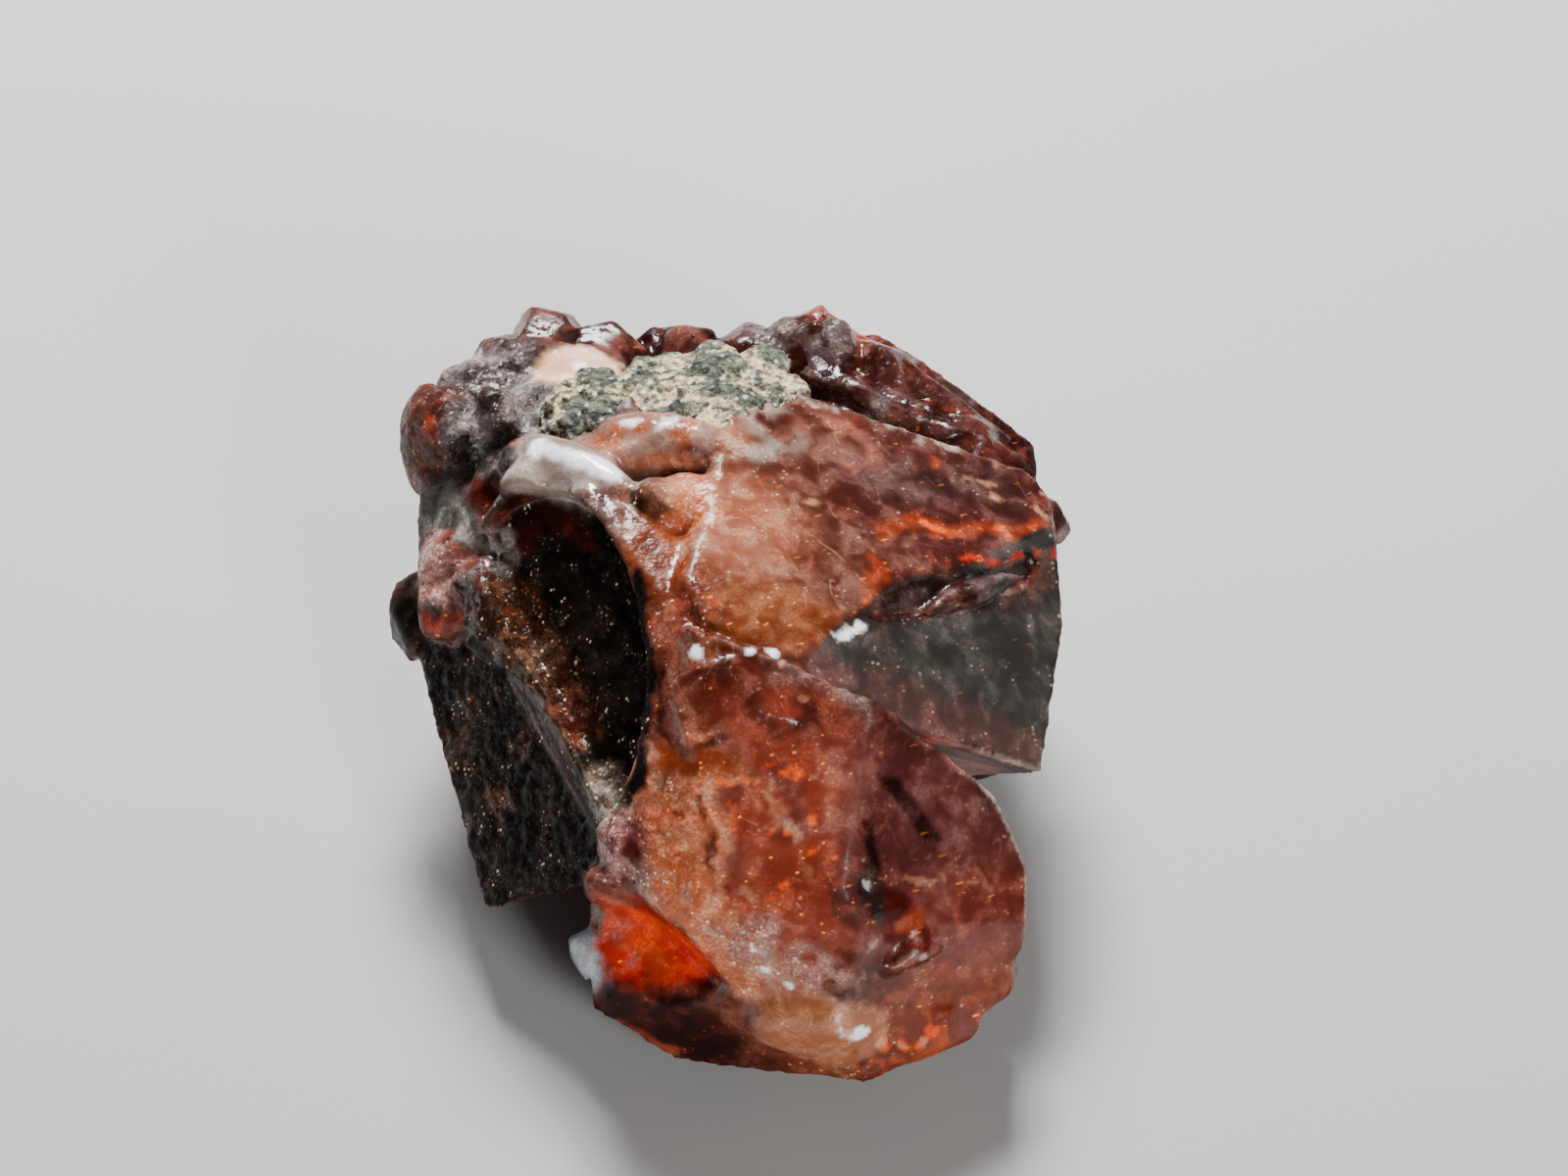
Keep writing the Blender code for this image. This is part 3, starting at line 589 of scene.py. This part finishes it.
class RockSettings(bpy.types.PropertyGroup):
    """The host rock's sizes and colours."""

    grid: length("Surface grid", "Size of the squares of its surface", 0.00007)
    swell: length("Swell", "How far it grows to meet the zircon", 0.0002)
    grain_size: length("Grain size", "Across one grain", 0.00042)
    grain_height: length("Grain height", "How high grains stand", 0.00014)
    grey_green: colour("Grey-green", "Ground colour", 0.115, 0.13, 0.085)
    cream: colour("Cream", "Pale patches", 0.70, 0.58, 0.34)
    dark_specks: colour("Dark specks", "Dark grains", 0.016, 0.020, 0.018)
    sugar_white: colour("Sugar white", "White grains", 0.85, 0.82, 0.75)


class StageSettings(bpy.types.PropertyGroup):
    """The floor and the lights."""

    floor: colour("Floor", "Floor colour", 0.55, 0.55, 0.54)
    key_power: watts("Main light", "From behind on the right", 1.0)
    side_power: watts("Side light", "From the right", 0.02)
    fill_power: watts("Front light", "Broad and weak", 0.8)
    sky: bpy.props.FloatProperty(name="Surroundings", description="Their brightness", default=0.08)


# ---- Shader sums ----


def math_method(operation, swapped=False):
    """A method that adds a Math node."""

    def work(self, other=0.0):
        first, second = (other, self) if swapped else (self, other)
        made = self.look.node("Math", {"operation": operation}, {0: first, 1: second})
        return Wire(self.look, made.outputs[0])

    return work


class Wire:
    """A node's output that can be used in sums."""

    __add__, __radd__ = math_method("ADD"), math_method("ADD", True)
    __sub__, __rsub__ = math_method("SUBTRACT"), math_method("SUBTRACT", True)
    __mul__, __rmul__ = math_method("MULTIPLY"), math_method("MULTIPLY", True)
    __abs__ = math_method("ABSOLUTE")
    at_most, at_least = math_method("MINIMUM"), math_method("MAXIMUM")

    def __init__(self, look, socket):
        self.look = look
        self.socket = socket

    def eased(self, low, high):
        """0 at low, 1 at high; low may be the larger."""
        sockets = {"Value": self, "From Min": min(low, high), "From Max": max(low, high)}
        made = self.look.node("MapRange", {"interpolation_type": "SMOOTHSTEP"}, sockets)
        share = Wire(self.look, made.outputs[0])
        return share if low < high else 1 - share


class Look:
    """A material under construction."""

    def __init__(self, name):
        self.material = bpy.data.materials.new(name)
        self.material.use_nodes = True
        self.tree = self.material.node_tree
        self.tree.nodes.clear()

    def node(self, kind, settings=None, sockets=None):
        """Adds a node; its settings first, then its sockets' values or wires."""
        made = self.tree.nodes.new("ShaderNode" + kind)
        for name, value in (settings or {}).items():
            setattr(made, name, value)
        for name, value in (sockets or {}).items():
            self.feed(self.socket_of(made, name), value)
        return made

    def socket_of(self, made, name):
        if isinstance(name, int):
            return made.inputs[name]
        return next(s for s in made.inputs if s.name == name and s.enabled)

    def feed(self, socket, value):
        if isinstance(value, Wire):
            value = value.socket
        if isinstance(value, bpy.types.NodeSocket):
            self.tree.links.new(value, socket)
        elif socket.type == "RGBA" and len(value) == 3:
            socket.default_value = (*value, 1.0)
        else:
            socket.default_value = value

    def place(self):
        """The point on the surface, in millimetres."""
        return self.brightened(self.node("TexCoord").outputs["Object"], 1 / MM)

    def stretched(self, point, factors, turn):
        """The point, for a pattern that is stretched by factors and turned by degrees."""
        sockets = {"Vector": point, "Rotation": [math.radians(a) for a in turn], "Scale": factors}
        return self.node("Mapping", {"vector_type": "TEXTURE"}, sockets).outputs[0]

    def noise(self, point, scale, detail=3.0, distortion=0.0, roughness=0.5):
        kind = {"Scale": scale, "Detail": detail, "Roughness": roughness}
        made = self.node("TexNoise", None, {"Vector": point, **kind, "Distortion": distortion})
        return Wire(self, made.outputs[0])

    def cells(self, point, scale):
        """(distance from the cell's middle, a random number and a random colour for it)"""
        made = self.node("TexVoronoi", None, {"Vector": point, "Scale": scale})
        split = self.node("SeparateColor", None, {"Color": made.outputs["Color"]})
        away, chance = Wire(self, made.outputs["Distance"]), Wire(self, split.outputs[0])
        return away, chance, made.outputs["Color"]

    def specks(self, point, scale, size, share):
        """Scattered specks: 1 inside a speck."""
        away, chance, _ = self.cells(point, scale)
        return away.eased(size, size * 0.6) * chance.eased(1 - share, 1 - share + 0.02)

    def mixed(self, first, second, factor):
        sockets = {"Factor": factor, "A": first, "B": second}
        return self.node("Mix", {"data_type": "RGBA"}, sockets).outputs[2]

    def deepened(self, tint, power):
        return self.node("Gamma", None, {"Color": tint, "Gamma": power}).outputs[0]

    def vectors(self, operation, *values):
        made = self.node("VectorMath", {"operation": operation}, dict(enumerate(values)))
        return made.outputs[0]

    def facets(self, point, scale, tilt):
        """(the normal, tilted another way in each small cell, distance from its middle, chance)"""
        away, chance, tone = self.cells(point, scale)
        lean = self.brightened(self.vectors("SUBTRACT", tone, (0.5, 0.5, 0.5)), tilt)
        flat = self.node("NewGeometry").outputs["Normal"]
        return self.vectors("NORMALIZE", self.vectors("ADD", flat, lean)), away, chance

    def brightened(self, tint, factor):
        sockets = {0: tint, "Scale": factor}
        return self.node("VectorMath", {"operation": "SCALE"}, sockets).outputs[0]

    def trait(self, name):
        return Wire(self, self.node("Attribute", {"attribute_name": name}).outputs["Fac"])

    def painted(self, name):
        return self.node("Attribute", {"attribute_name": name}).outputs["Color"]

    def bump(self, height, distance, **below):
        sockets = {"Height": height, "Distance": distance, "Strength": 1.0, **below}
        return self.node("Bump", None, sockets).outputs[0]

    def principled(self, **sockets):
        """A surface; its sockets are named with _ for a space."""
        named = {name.replace("_", " "): value for name, value in sockets.items()}
        return self.node("BsdfPrincipled", None, named).outputs[0]

    def finish(self, **sockets):
        self.node("OutputMaterial", None, sockets)
        return self.material


# ---- The zircon ----

# Colours of the milk, the veils, the painted glow, the painted flashes, the golden strokes and the
# painted glints.
MILK = (0.62, 0.30, 0.20)
VEIL = (0.85, 0.50, 0.34)
GLOW = (0.60, 0.060, 0.010)
FLASH = (1.0, 0.25, 0.04)
STROKE = (0.23, 0.125, 0.070)
GLINT = (0.90, 0.70, 0.50)
# The clear part of the stone, and what it takes from the light on its way, per metre.
CLEAR_STONE = (1.0, 0.80, 0.70)
ABSORBED = (0.90, 0.30, 0.10)
ABSORPTION = 1200


def zircon_look():
    look = Look("zircon")
    at = look.place()
    tint = look.painted("tint")
    haze, pits, glints, sparks, veils, rough, fire, gloss = [look.trait(name) for name in TRAITS]

    cloud = look.noise(at, 0.55, 1)
    soft = look.noise(at, 1.5, 1.5, 0.5)
    fine = look.noise(at, 3.4, 1, 0, 0.6)
    grit = look.noise(at, 11.0, 0)
    depth = (cloud * 0.45 + soft * 0.4 + fine * 0.15).eased(0.36, 0.64)
    # A deeper view into the stone takes its colour more often.
    body = look.deepened(tint, 1.27 - depth * 0.44)
    body = look.brightened(body, 0.86 + grit.eased(0.35, 0.72) * soft.eased(0.4, 0.6) * 0.4)

    # Veils: pale healed cracks inside, as milk and as thin lines.
    crossing = abs(look.noise(look.stretched(at, (1, 2.6, 1), (0, 25, 25)), 0.8, 0) - 0.5)
    veil = crossing.eased(0.01, 0) * fine.eased(0.42, 0.6) * veils
    milk = (cloud * 0.4 + soft * 0.6).eased(0.5, 0.68) * veils
    body = look.mixed(body, MILK, milk * 0.3)
    # Where it is worn, bent bright and dark edges follow each other closely.
    seam = abs(soft - 0.5).eased(0.035, 0) * pits
    crest = abs(fine - 0.5).eased(0.04, 0) * pits
    body = look.deepened(body, 1.0 + seam * 0.35)
    body = look.brightened(body, 1.0 + crest * 0.9)
    body = look.mixed(body, VEIL, veil * 0.5)

    # Sparks: painted orange-red flashes, standing for light that cracks below the surface send
    # back, and painted orange glow round them. The other cells are golden strokes.
    away, chance, _ = look.cells(look.stretched(at, (2.4, 0.7, 0.7), (0, 20, 35)), 4.8)
    flash = away.eased(0.36, 0.22) * chance.eased(0.88, 0.9) * fine.eased(0.44, 0.54) * sparks
    glow = soft.eased(0.54, 0.68) * cloud.eased(0.52, 0.4) * sparks
    body = look.mixed(body, GLOW, glow * 0.35)
    body = look.mixed(body, FLASH, flash)
    stroke = away.eased(0.34, 0.2) * chance.eased(0.42, 0.38) * soft.eased(0.44, 0.6) * glints
    body = look.mixed(body, STROKE, stroke * 0.6)

    # Glints: painted sparkles, small pale specks that lie close together in places. Where the stone
    # is broken, each small facet is tilted its own way.
    flakes = look.stretched(at, (1.3, 0.8, 1), (0, 30, 40))
    facets, away, chance = look.facets(flakes, 7.5, pits * 0.7)
    crowd = (soft.eased(0.45, 0.61) + (glints - 0.9).at_least(0)).at_most(1)
    glint = (away + fine * 0.5).eased(0.67, 0.47) * chance.eased(0.76, 1) * glints * crowd
    body = look.mixed(body, GLINT, (glint * 0.95).at_most(1))

    rise = (fine - 0.5) * (0.05 + pits * 0.9) + (grit - 0.5) * (0.03 + pits * 0.25)
    normal = look.bump(rise, 0.0001, Normal=facets)
    shine = (rough + (fine - 0.5) * 0.14 - (glint + flash) * 0.08).at_least(0.05)
    # The painted glow: fire, flashes and glints give off light, though the stone is no lamp.
    alight = (fire + flash * 0.6 + glint * 0.3).at_most(1)

    milky = look.principled(
        Base_Color=body, Roughness=shine, IOR=1.9, Specular_IOR_Level=0.06, Normal=normal,
        Coat_Weight=gloss, Coat_IOR=1.6, Coat_Roughness=0.09,
        Emission_Color=look.mixed((0, 0, 0), body, alight), Emission_Strength=0.8,
    )
    clear = look.principled(
        Base_Color=CLEAR_STONE, Roughness=shine * 0.6, IOR=1.93, Transmission_Weight=1,
        Normal=normal,
    )
    surface = look.node("MixShader", None, {0: haze, 1: clear, 2: milky})
    absorb = look.node("VolumeAbsorption", None, {"Color": ABSORBED, "Density": ABSORPTION})
    return look.finish(Surface=surface.outputs[0], Volume=absorb.outputs[0])


# ---- The host rock ----


def rock_look(settings):
    look = Look("host_rock")
    at = look.place()
    cloud = look.noise(at, 0.9, 3.0, 0.8)
    fine = look.noise(at, 4.5, 4.0, 0.0, 0.7)
    patchy = (cloud * 0.7 + fine * 0.3).eased(0.47, 0.58)
    body = look.mixed(settings.grey_green, settings.cream, patchy)
    body = look.brightened(body, 0.5 + fine.eased(0.36, 0.64) * 1.1)
    dark = look.specks(at, 3.0, 0.44, 0.30).at_least(look.noise(at, 2.4, 3.0).eased(0.56, 0.64))
    white = look.specks(at, 4.4, 0.42, 0.22)
    body = look.mixed(body, settings.dark_specks, dark * 0.9)
    body = look.mixed(body, settings.sugar_white, white * 0.85)
    away = look.cells(at, 4.0)[0]
    rise = fine * 1.2 + away * -0.9
    normal = look.bump(rise, 0.00016)
    shine = 0.62 - white * 0.35 + fine * 0.1
    surface = look.principled(Base_Color=body, Roughness=shine, IOR=1.55, Normal=normal)
    return look.finish(Surface=surface)


# ---- Mesh work ----


def take_up(obj):
    """Makes obj the only selected object, and the active one."""
    bpy.ops.object.select_all(action="DESELECT")
    obj.select_set(True)
    bpy.context.view_layer.objects.active = obj


def mode(name):
    bpy.ops.object.mode_set(mode=name)


def copy_of_node(node, name):
    """A merged copy of a CAD node's mesh, as a new object at the origin."""
    if node not in frame["nodes"]:
        raise RuntimeError(f"the frame has no node {node}")
    mesh = frame["nodes"][node].data.copy()
    mesh.name = name
    mesh.materials.clear()
    piece = bpy.data.objects.new(name, mesh)
    bpy.context.scene.collection.objects.link(piece)
    take_up(piece)
    mode("EDIT")
    bpy.ops.mesh.select_all(action="SELECT")
    bpy.ops.mesh.remove_doubles(threshold=1e-6)
    bpy.ops.mesh.normals_make_consistent(inside=False)
    mode("OBJECT")
    return piece


def applied(piece, kind, **settings):
    """Adds a modifier and applies it."""
    modifier = piece.modifiers.new(kind.title(), kind)
    for name, value in settings.items():
        setattr(modifier, name, value)
    take_up(piece)
    bpy.ops.object.modifier_apply(modifier=modifier.name)


def shed_loose_bits(piece):
    """Deletes the specks that a remesh leaves apart from the shell that holds the lowest vertex."""
    lowest = min(piece.data.vertices, key=lambda vertex: vertex.co.z).index
    take_up(piece)
    mode("EDIT")
    bpy.ops.mesh.select_mode(type="VERT")
    bpy.ops.mesh.select_all(action="DESELECT")
    mode("OBJECT")
    piece.data.vertices[lowest].select = True
    mode("EDIT")
    bpy.ops.mesh.select_linked()
    bpy.ops.mesh.select_all(action="INVERT")
    bpy.ops.mesh.delete(type="VERT")
    mode("OBJECT")


def weigh(piece, name, weights):
    """A vertex group from an array of weights."""
    group = piece.vertex_groups.new(name=name)
    for index in np.nonzero(weights > 0.01)[0]:
        group.add([int(index)], float(weights[index]), "REPLACE")


def relief(piece, kind, size, height, detail=None, **settings):
    """Raises a pattern all over a piece, or on a vertex group."""
    pattern = bpy.data.textures.new("relief", kind)
    pattern.noise_scale = size
    if detail:
        pattern.noise_depth = detail
    applied(piece, "DISPLACE", texture=pattern, strength=height, **settings)


def column(trait):
    """The column of a trait; the first three are the colour."""
    return 3 + TRAITS.index(trait)


def zircon_traits(survey, settings):
    """Each vertex's finish: its colour and its traits."""

    def row(name):
        return np.array((*getattr(settings, name), *(part / 100 for part in FINISHES[name][2])))

    made = np.tile(row("deep_brown"), (len(survey.points), 1))
    for name, mask, strength in COVERINGS:
        made += (row(name) - made) * (mask(survey) * strength)[:, None]
    # Worn edges are duller.
    made[:, column("rough")] += 0.5 * survey.edge
    made[:, column("gloss")] *= 1 - survey.edge
    return made


def store(mesh, name, values, kind="FLOAT"):
    """Keeps an array on the vertices, for the material to read."""
    attribute = mesh.attributes.new(name, kind, "POINT")
    key = "color" if kind == "FLOAT_COLOR" else "value"
    attribute.data.foreach_set(key, values.astype(np.float32).ravel())


# How far past the solids' box a piece may reach, as a share of the box.
BOX_SLACK = 0.01


def keep_in_box(piece):
    """Keeps a piece off the ground plane and inside the solids' box."""
    low, high = np.array(CAD_BOX)
    slack = BOX_SLACK * (high - low)
    points = vertex_rows(piece.data.vertices, "co")
    inside = np.clip(points, low - slack * (1, 1, 0), high + slack)
    piece.data.vertices.foreach_set("co", inside.ravel())
    piece.data.update()


# The underside keeps a share of its triangles: it faces down (the normal's height) and lies low
# (mm).
FACES_DOWN = (0.1, -0.3)
LIES_LOW = (6, 4)
UNDERSIDE_KEEPS = 0.78
# Relief sets in between these heights above the floor, in mm.
RELIEF_FROM = (0.2, 0.6)
# Nicks come and go along an edge: waves per mm, and where in that noise they set in.
NICK_WAVES = 1.1
NICKS_FROM = (-0.15, 0.25)
SMOOTHING_STEPS = 14
ROCK_SMOOTHING_STEPS = 4


class ZIRCON_OT_crystals(bpy.types.Operator):
    """Builds the grown-together zircon crystals"""

    bl_idname = "zircon.crystals"
    bl_label = "Zircon crystals"
    bl_options = {"REGISTER", "UNDO"}

    def execute(self, context):
        settings = context.scene.zircon
        piece = copy_of_node("zircon_crystal", "zircon")
        applied(piece, "REMESH", mode="VOXEL", voxel_size=settings.grid)
        survey = Survey(piece.data)
        hidden = eased(*FACES_DOWN, survey.normals[:, 2]) * eased(*LIES_LOW, survey.points[:, 2])
        weigh(piece, "underside", hidden)
        applied(piece, "DECIMATE", ratio=UNDERSIDE_KEEPS, vertex_group="underside")
        piece.vertex_groups.clear()

        survey = Survey(piece.data)
        traits = zircon_traits(survey, settings)
        raised = eased(*RELIEF_FROM, survey.points[:, 2])
        pits = traits[:, column("pits")]
        nicks = survey.edge * eased(*NICKS_FROM, noise_at(survey.points, NICK_WAVES))
        rounded = np.clip(sum(mask(survey) for mask in ROUNDED), 0, 1)
        weigh(piece, "rounded", rounded)
        weigh(piece, "nicked", nicks * raised)
        weigh(piece, "pitted", pits * raised)
        weigh(piece, "crusty", np.clip(pits * 1.2, 0, 1) * raised)
        applied(piece, "SMOOTH", iterations=SMOOTHING_STEPS, vertex_group="rounded")
        relief(piece, "CLOUDS", settings.lump_size, settings.lump_height, 3, vertex_group="crusty")
        relief(piece, "VORONOI", settings.pit_size, settings.pit_depth, vertex_group="pitted")
        nicked = {"mid_level": 1, "vertex_group": "nicked"}
        relief(piece, "CLOUDS", settings.pit_size, settings.nick_depth, 2, **nicked)
        keep_in_box(piece)
        piece.vertex_groups.clear()
        tint = np.insert(traits[:, :3], 3, 1, axis=1)
        store(piece.data, "tint", tint, "FLOAT_COLOR")
        for name in TRAITS:
            store(piece.data, name, traits[:, column(name)])
        piece.data.materials.append(zircon_look())
        shed_loose_bits(piece)
        bpy.ops.object.shade_smooth()
        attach(piece, "root")
        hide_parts("zircon_crystal")
        return {"FINISHED"}


class ZIRCON_OT_host_rock(bpy.types.Operator):
    """Builds the remnant of host rock on top"""

    bl_idname = "zircon.host_rock"
    bl_label = "Host rock"
    bl_options = {"REGISTER", "UNDO"}

    def execute(self, context):
        settings = context.scene.zircon_rock
        piece = copy_of_node("matrix_crust", "host_rock")
        applied(piece, "DISPLACE", strength=settings.swell, mid_level=0)
        applied(piece, "REMESH", mode="VOXEL", voxel_size=settings.grid)
        applied(piece, "SMOOTH", iterations=ROCK_SMOOTHING_STEPS)
        relief(piece, "VORONOI", settings.grain_size, -settings.grain_height)
        relief(piece, "CLOUDS", settings.grain_size * 2, settings.grain_height, 3)
        keep_in_box(piece)
        piece.data.materials.append(rock_look(settings))
        shed_loose_bits(piece)
        bpy.ops.object.shade_smooth()
        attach(piece, "root")
        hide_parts("matrix_crust")
        return {"FINISHED"}


# ---- Stage ----

LOOK_AT = Vector((0.001565, 0.000145, 0.009245))
LOOK_BACK = Vector((0, -1, 1)).normalized()
CAMERA_AWAY = 0.110
LENS = 88.08
LIT_POINT = Vector((0, 0, 0.007))
# Each light: the way that it comes from, its distance and size in metres, and its power setting.
LIGHTS = {
    "main_light": ((-0.05, 0.65, 0.76), 0.20, 0.06, "key_power"),
    "side_light": ((0.92, 0.10, 0.36), 0.20, 0.09, "side_power"),
    "front_light": ((0.437, -0.786, 0.437), 0.35, 0.10, "fill_power"),
}
SKY_COLOUR = (0.80, 0.81, 0.83, 1.0)
FLOOR_SIZE = 2.0
# Just under the specimen, so that the two never share a plane.
FLOOR_HEIGHT = -0.00001


def area_light(name, towards, away, size, power):
    """A soft square light that shines on the specimen from one direction."""
    data = bpy.data.lights.new(name, "AREA")
    data.shape = "SQUARE"
    data.size = size
    data.energy = power
    lamp = bpy.data.objects.new(name, data)
    bpy.context.scene.collection.objects.link(lamp)
    facing = Vector(towards).normalized()
    lamp.location = LIT_POINT + facing * away
    lamp.rotation_mode = "QUATERNION"
    lamp.rotation_quaternion = facing.to_track_quat("Z", "Y")


def floor_look(settings):
    look = Look("pale_floor")
    at = look.place()
    mottle = look.noise(at, 0.05, 3.0)
    body = look.mixed(
        look.brightened(settings.floor, 0.97), look.brightened(settings.floor, 1.03), mottle
    )
    return look.finish(Surface=look.principled(Base_Color=body, Roughness=0.75))


class ZIRCON_OT_stage(bpy.types.Operator):
    """Builds the floor, the lights and the camera"""

    bl_idname = "zircon.stage"
    bl_label = "Stage"
    bl_options = {"REGISTER", "UNDO"}

    def execute(self, context):
        settings = context.scene.zircon_stage
        bpy.ops.mesh.primitive_plane_add(size=FLOOR_SIZE, location=(0, 0, FLOOR_HEIGHT))
        floor = context.object
        floor.name = "floor"
        floor.data.materials.append(floor_look(settings))

        for name, (towards, away, size, power) in LIGHTS.items():
            area_light(name, towards, away, size, getattr(settings, power))

        world = bpy.data.worlds.new("surroundings")
        context.scene.world = world
        world.use_nodes = True
        background = world.node_tree.nodes["Background"]
        background.inputs["Color"].default_value = SKY_COLOUR
        background.inputs["Strength"].default_value = settings.sky

        data = bpy.data.cameras.new("camera")
        data.sensor_width = 36.0
        data.lens = LENS
        data.clip_start = 0.001
        camera = bpy.data.objects.new("camera", data)
        context.scene.collection.objects.link(camera)
        camera.location = LOOK_AT + LOOK_BACK * CAMERA_AWAY
        camera.rotation_mode = "QUATERNION"
        camera.rotation_quaternion = LOOK_BACK.to_track_quat("Z", "Y")
        context.scene.camera = camera
        return {"FINISHED"}


class ZIRCON_PT_panel(bpy.types.Panel):
    """Buttons and settings of the specimen"""

    bl_label = "Rough zircon"
    bl_space_type = "VIEW_3D"
    bl_region_type = "UI"
    bl_category = "Zircon"

    def draw(self, context):
        for operator in OPERATORS:
            self.layout.operator(operator.bl_idname)
        for name in SETTINGS:
            group = getattr(context.scene, name)
            box = self.layout.box()
            for key in group.bl_rna.properties.keys():
                if key not in ("rna_type", "name"):
                    box.prop(group, key)


OPERATORS = (ZIRCON_OT_crystals, ZIRCON_OT_host_rock, ZIRCON_OT_stage)
SETTINGS = {"zircon": ZirconSettings, "zircon_rock": RockSettings, "zircon_stage": StageSettings}


def register():
    for made in (*SETTINGS.values(), *OPERATORS, ZIRCON_PT_panel):
        bpy.utils.register_class(made)
    for name, group in SETTINGS.items():
        setattr(bpy.types.Scene, name, bpy.props.PointerProperty(type=group))


def unregister():
    for name in SETTINGS:
        delattr(bpy.types.Scene, name)
    for made in (ZIRCON_PT_panel, *reversed(OPERATORS), *reversed(SETTINGS.values())):
        bpy.utils.unregister_class(made)


def main():
    register()
    bpy.ops.zircon.crystals()
    bpy.ops.zircon.host_rock()
    bpy.ops.zircon.stage()


if __name__ == "__main__":
    main()
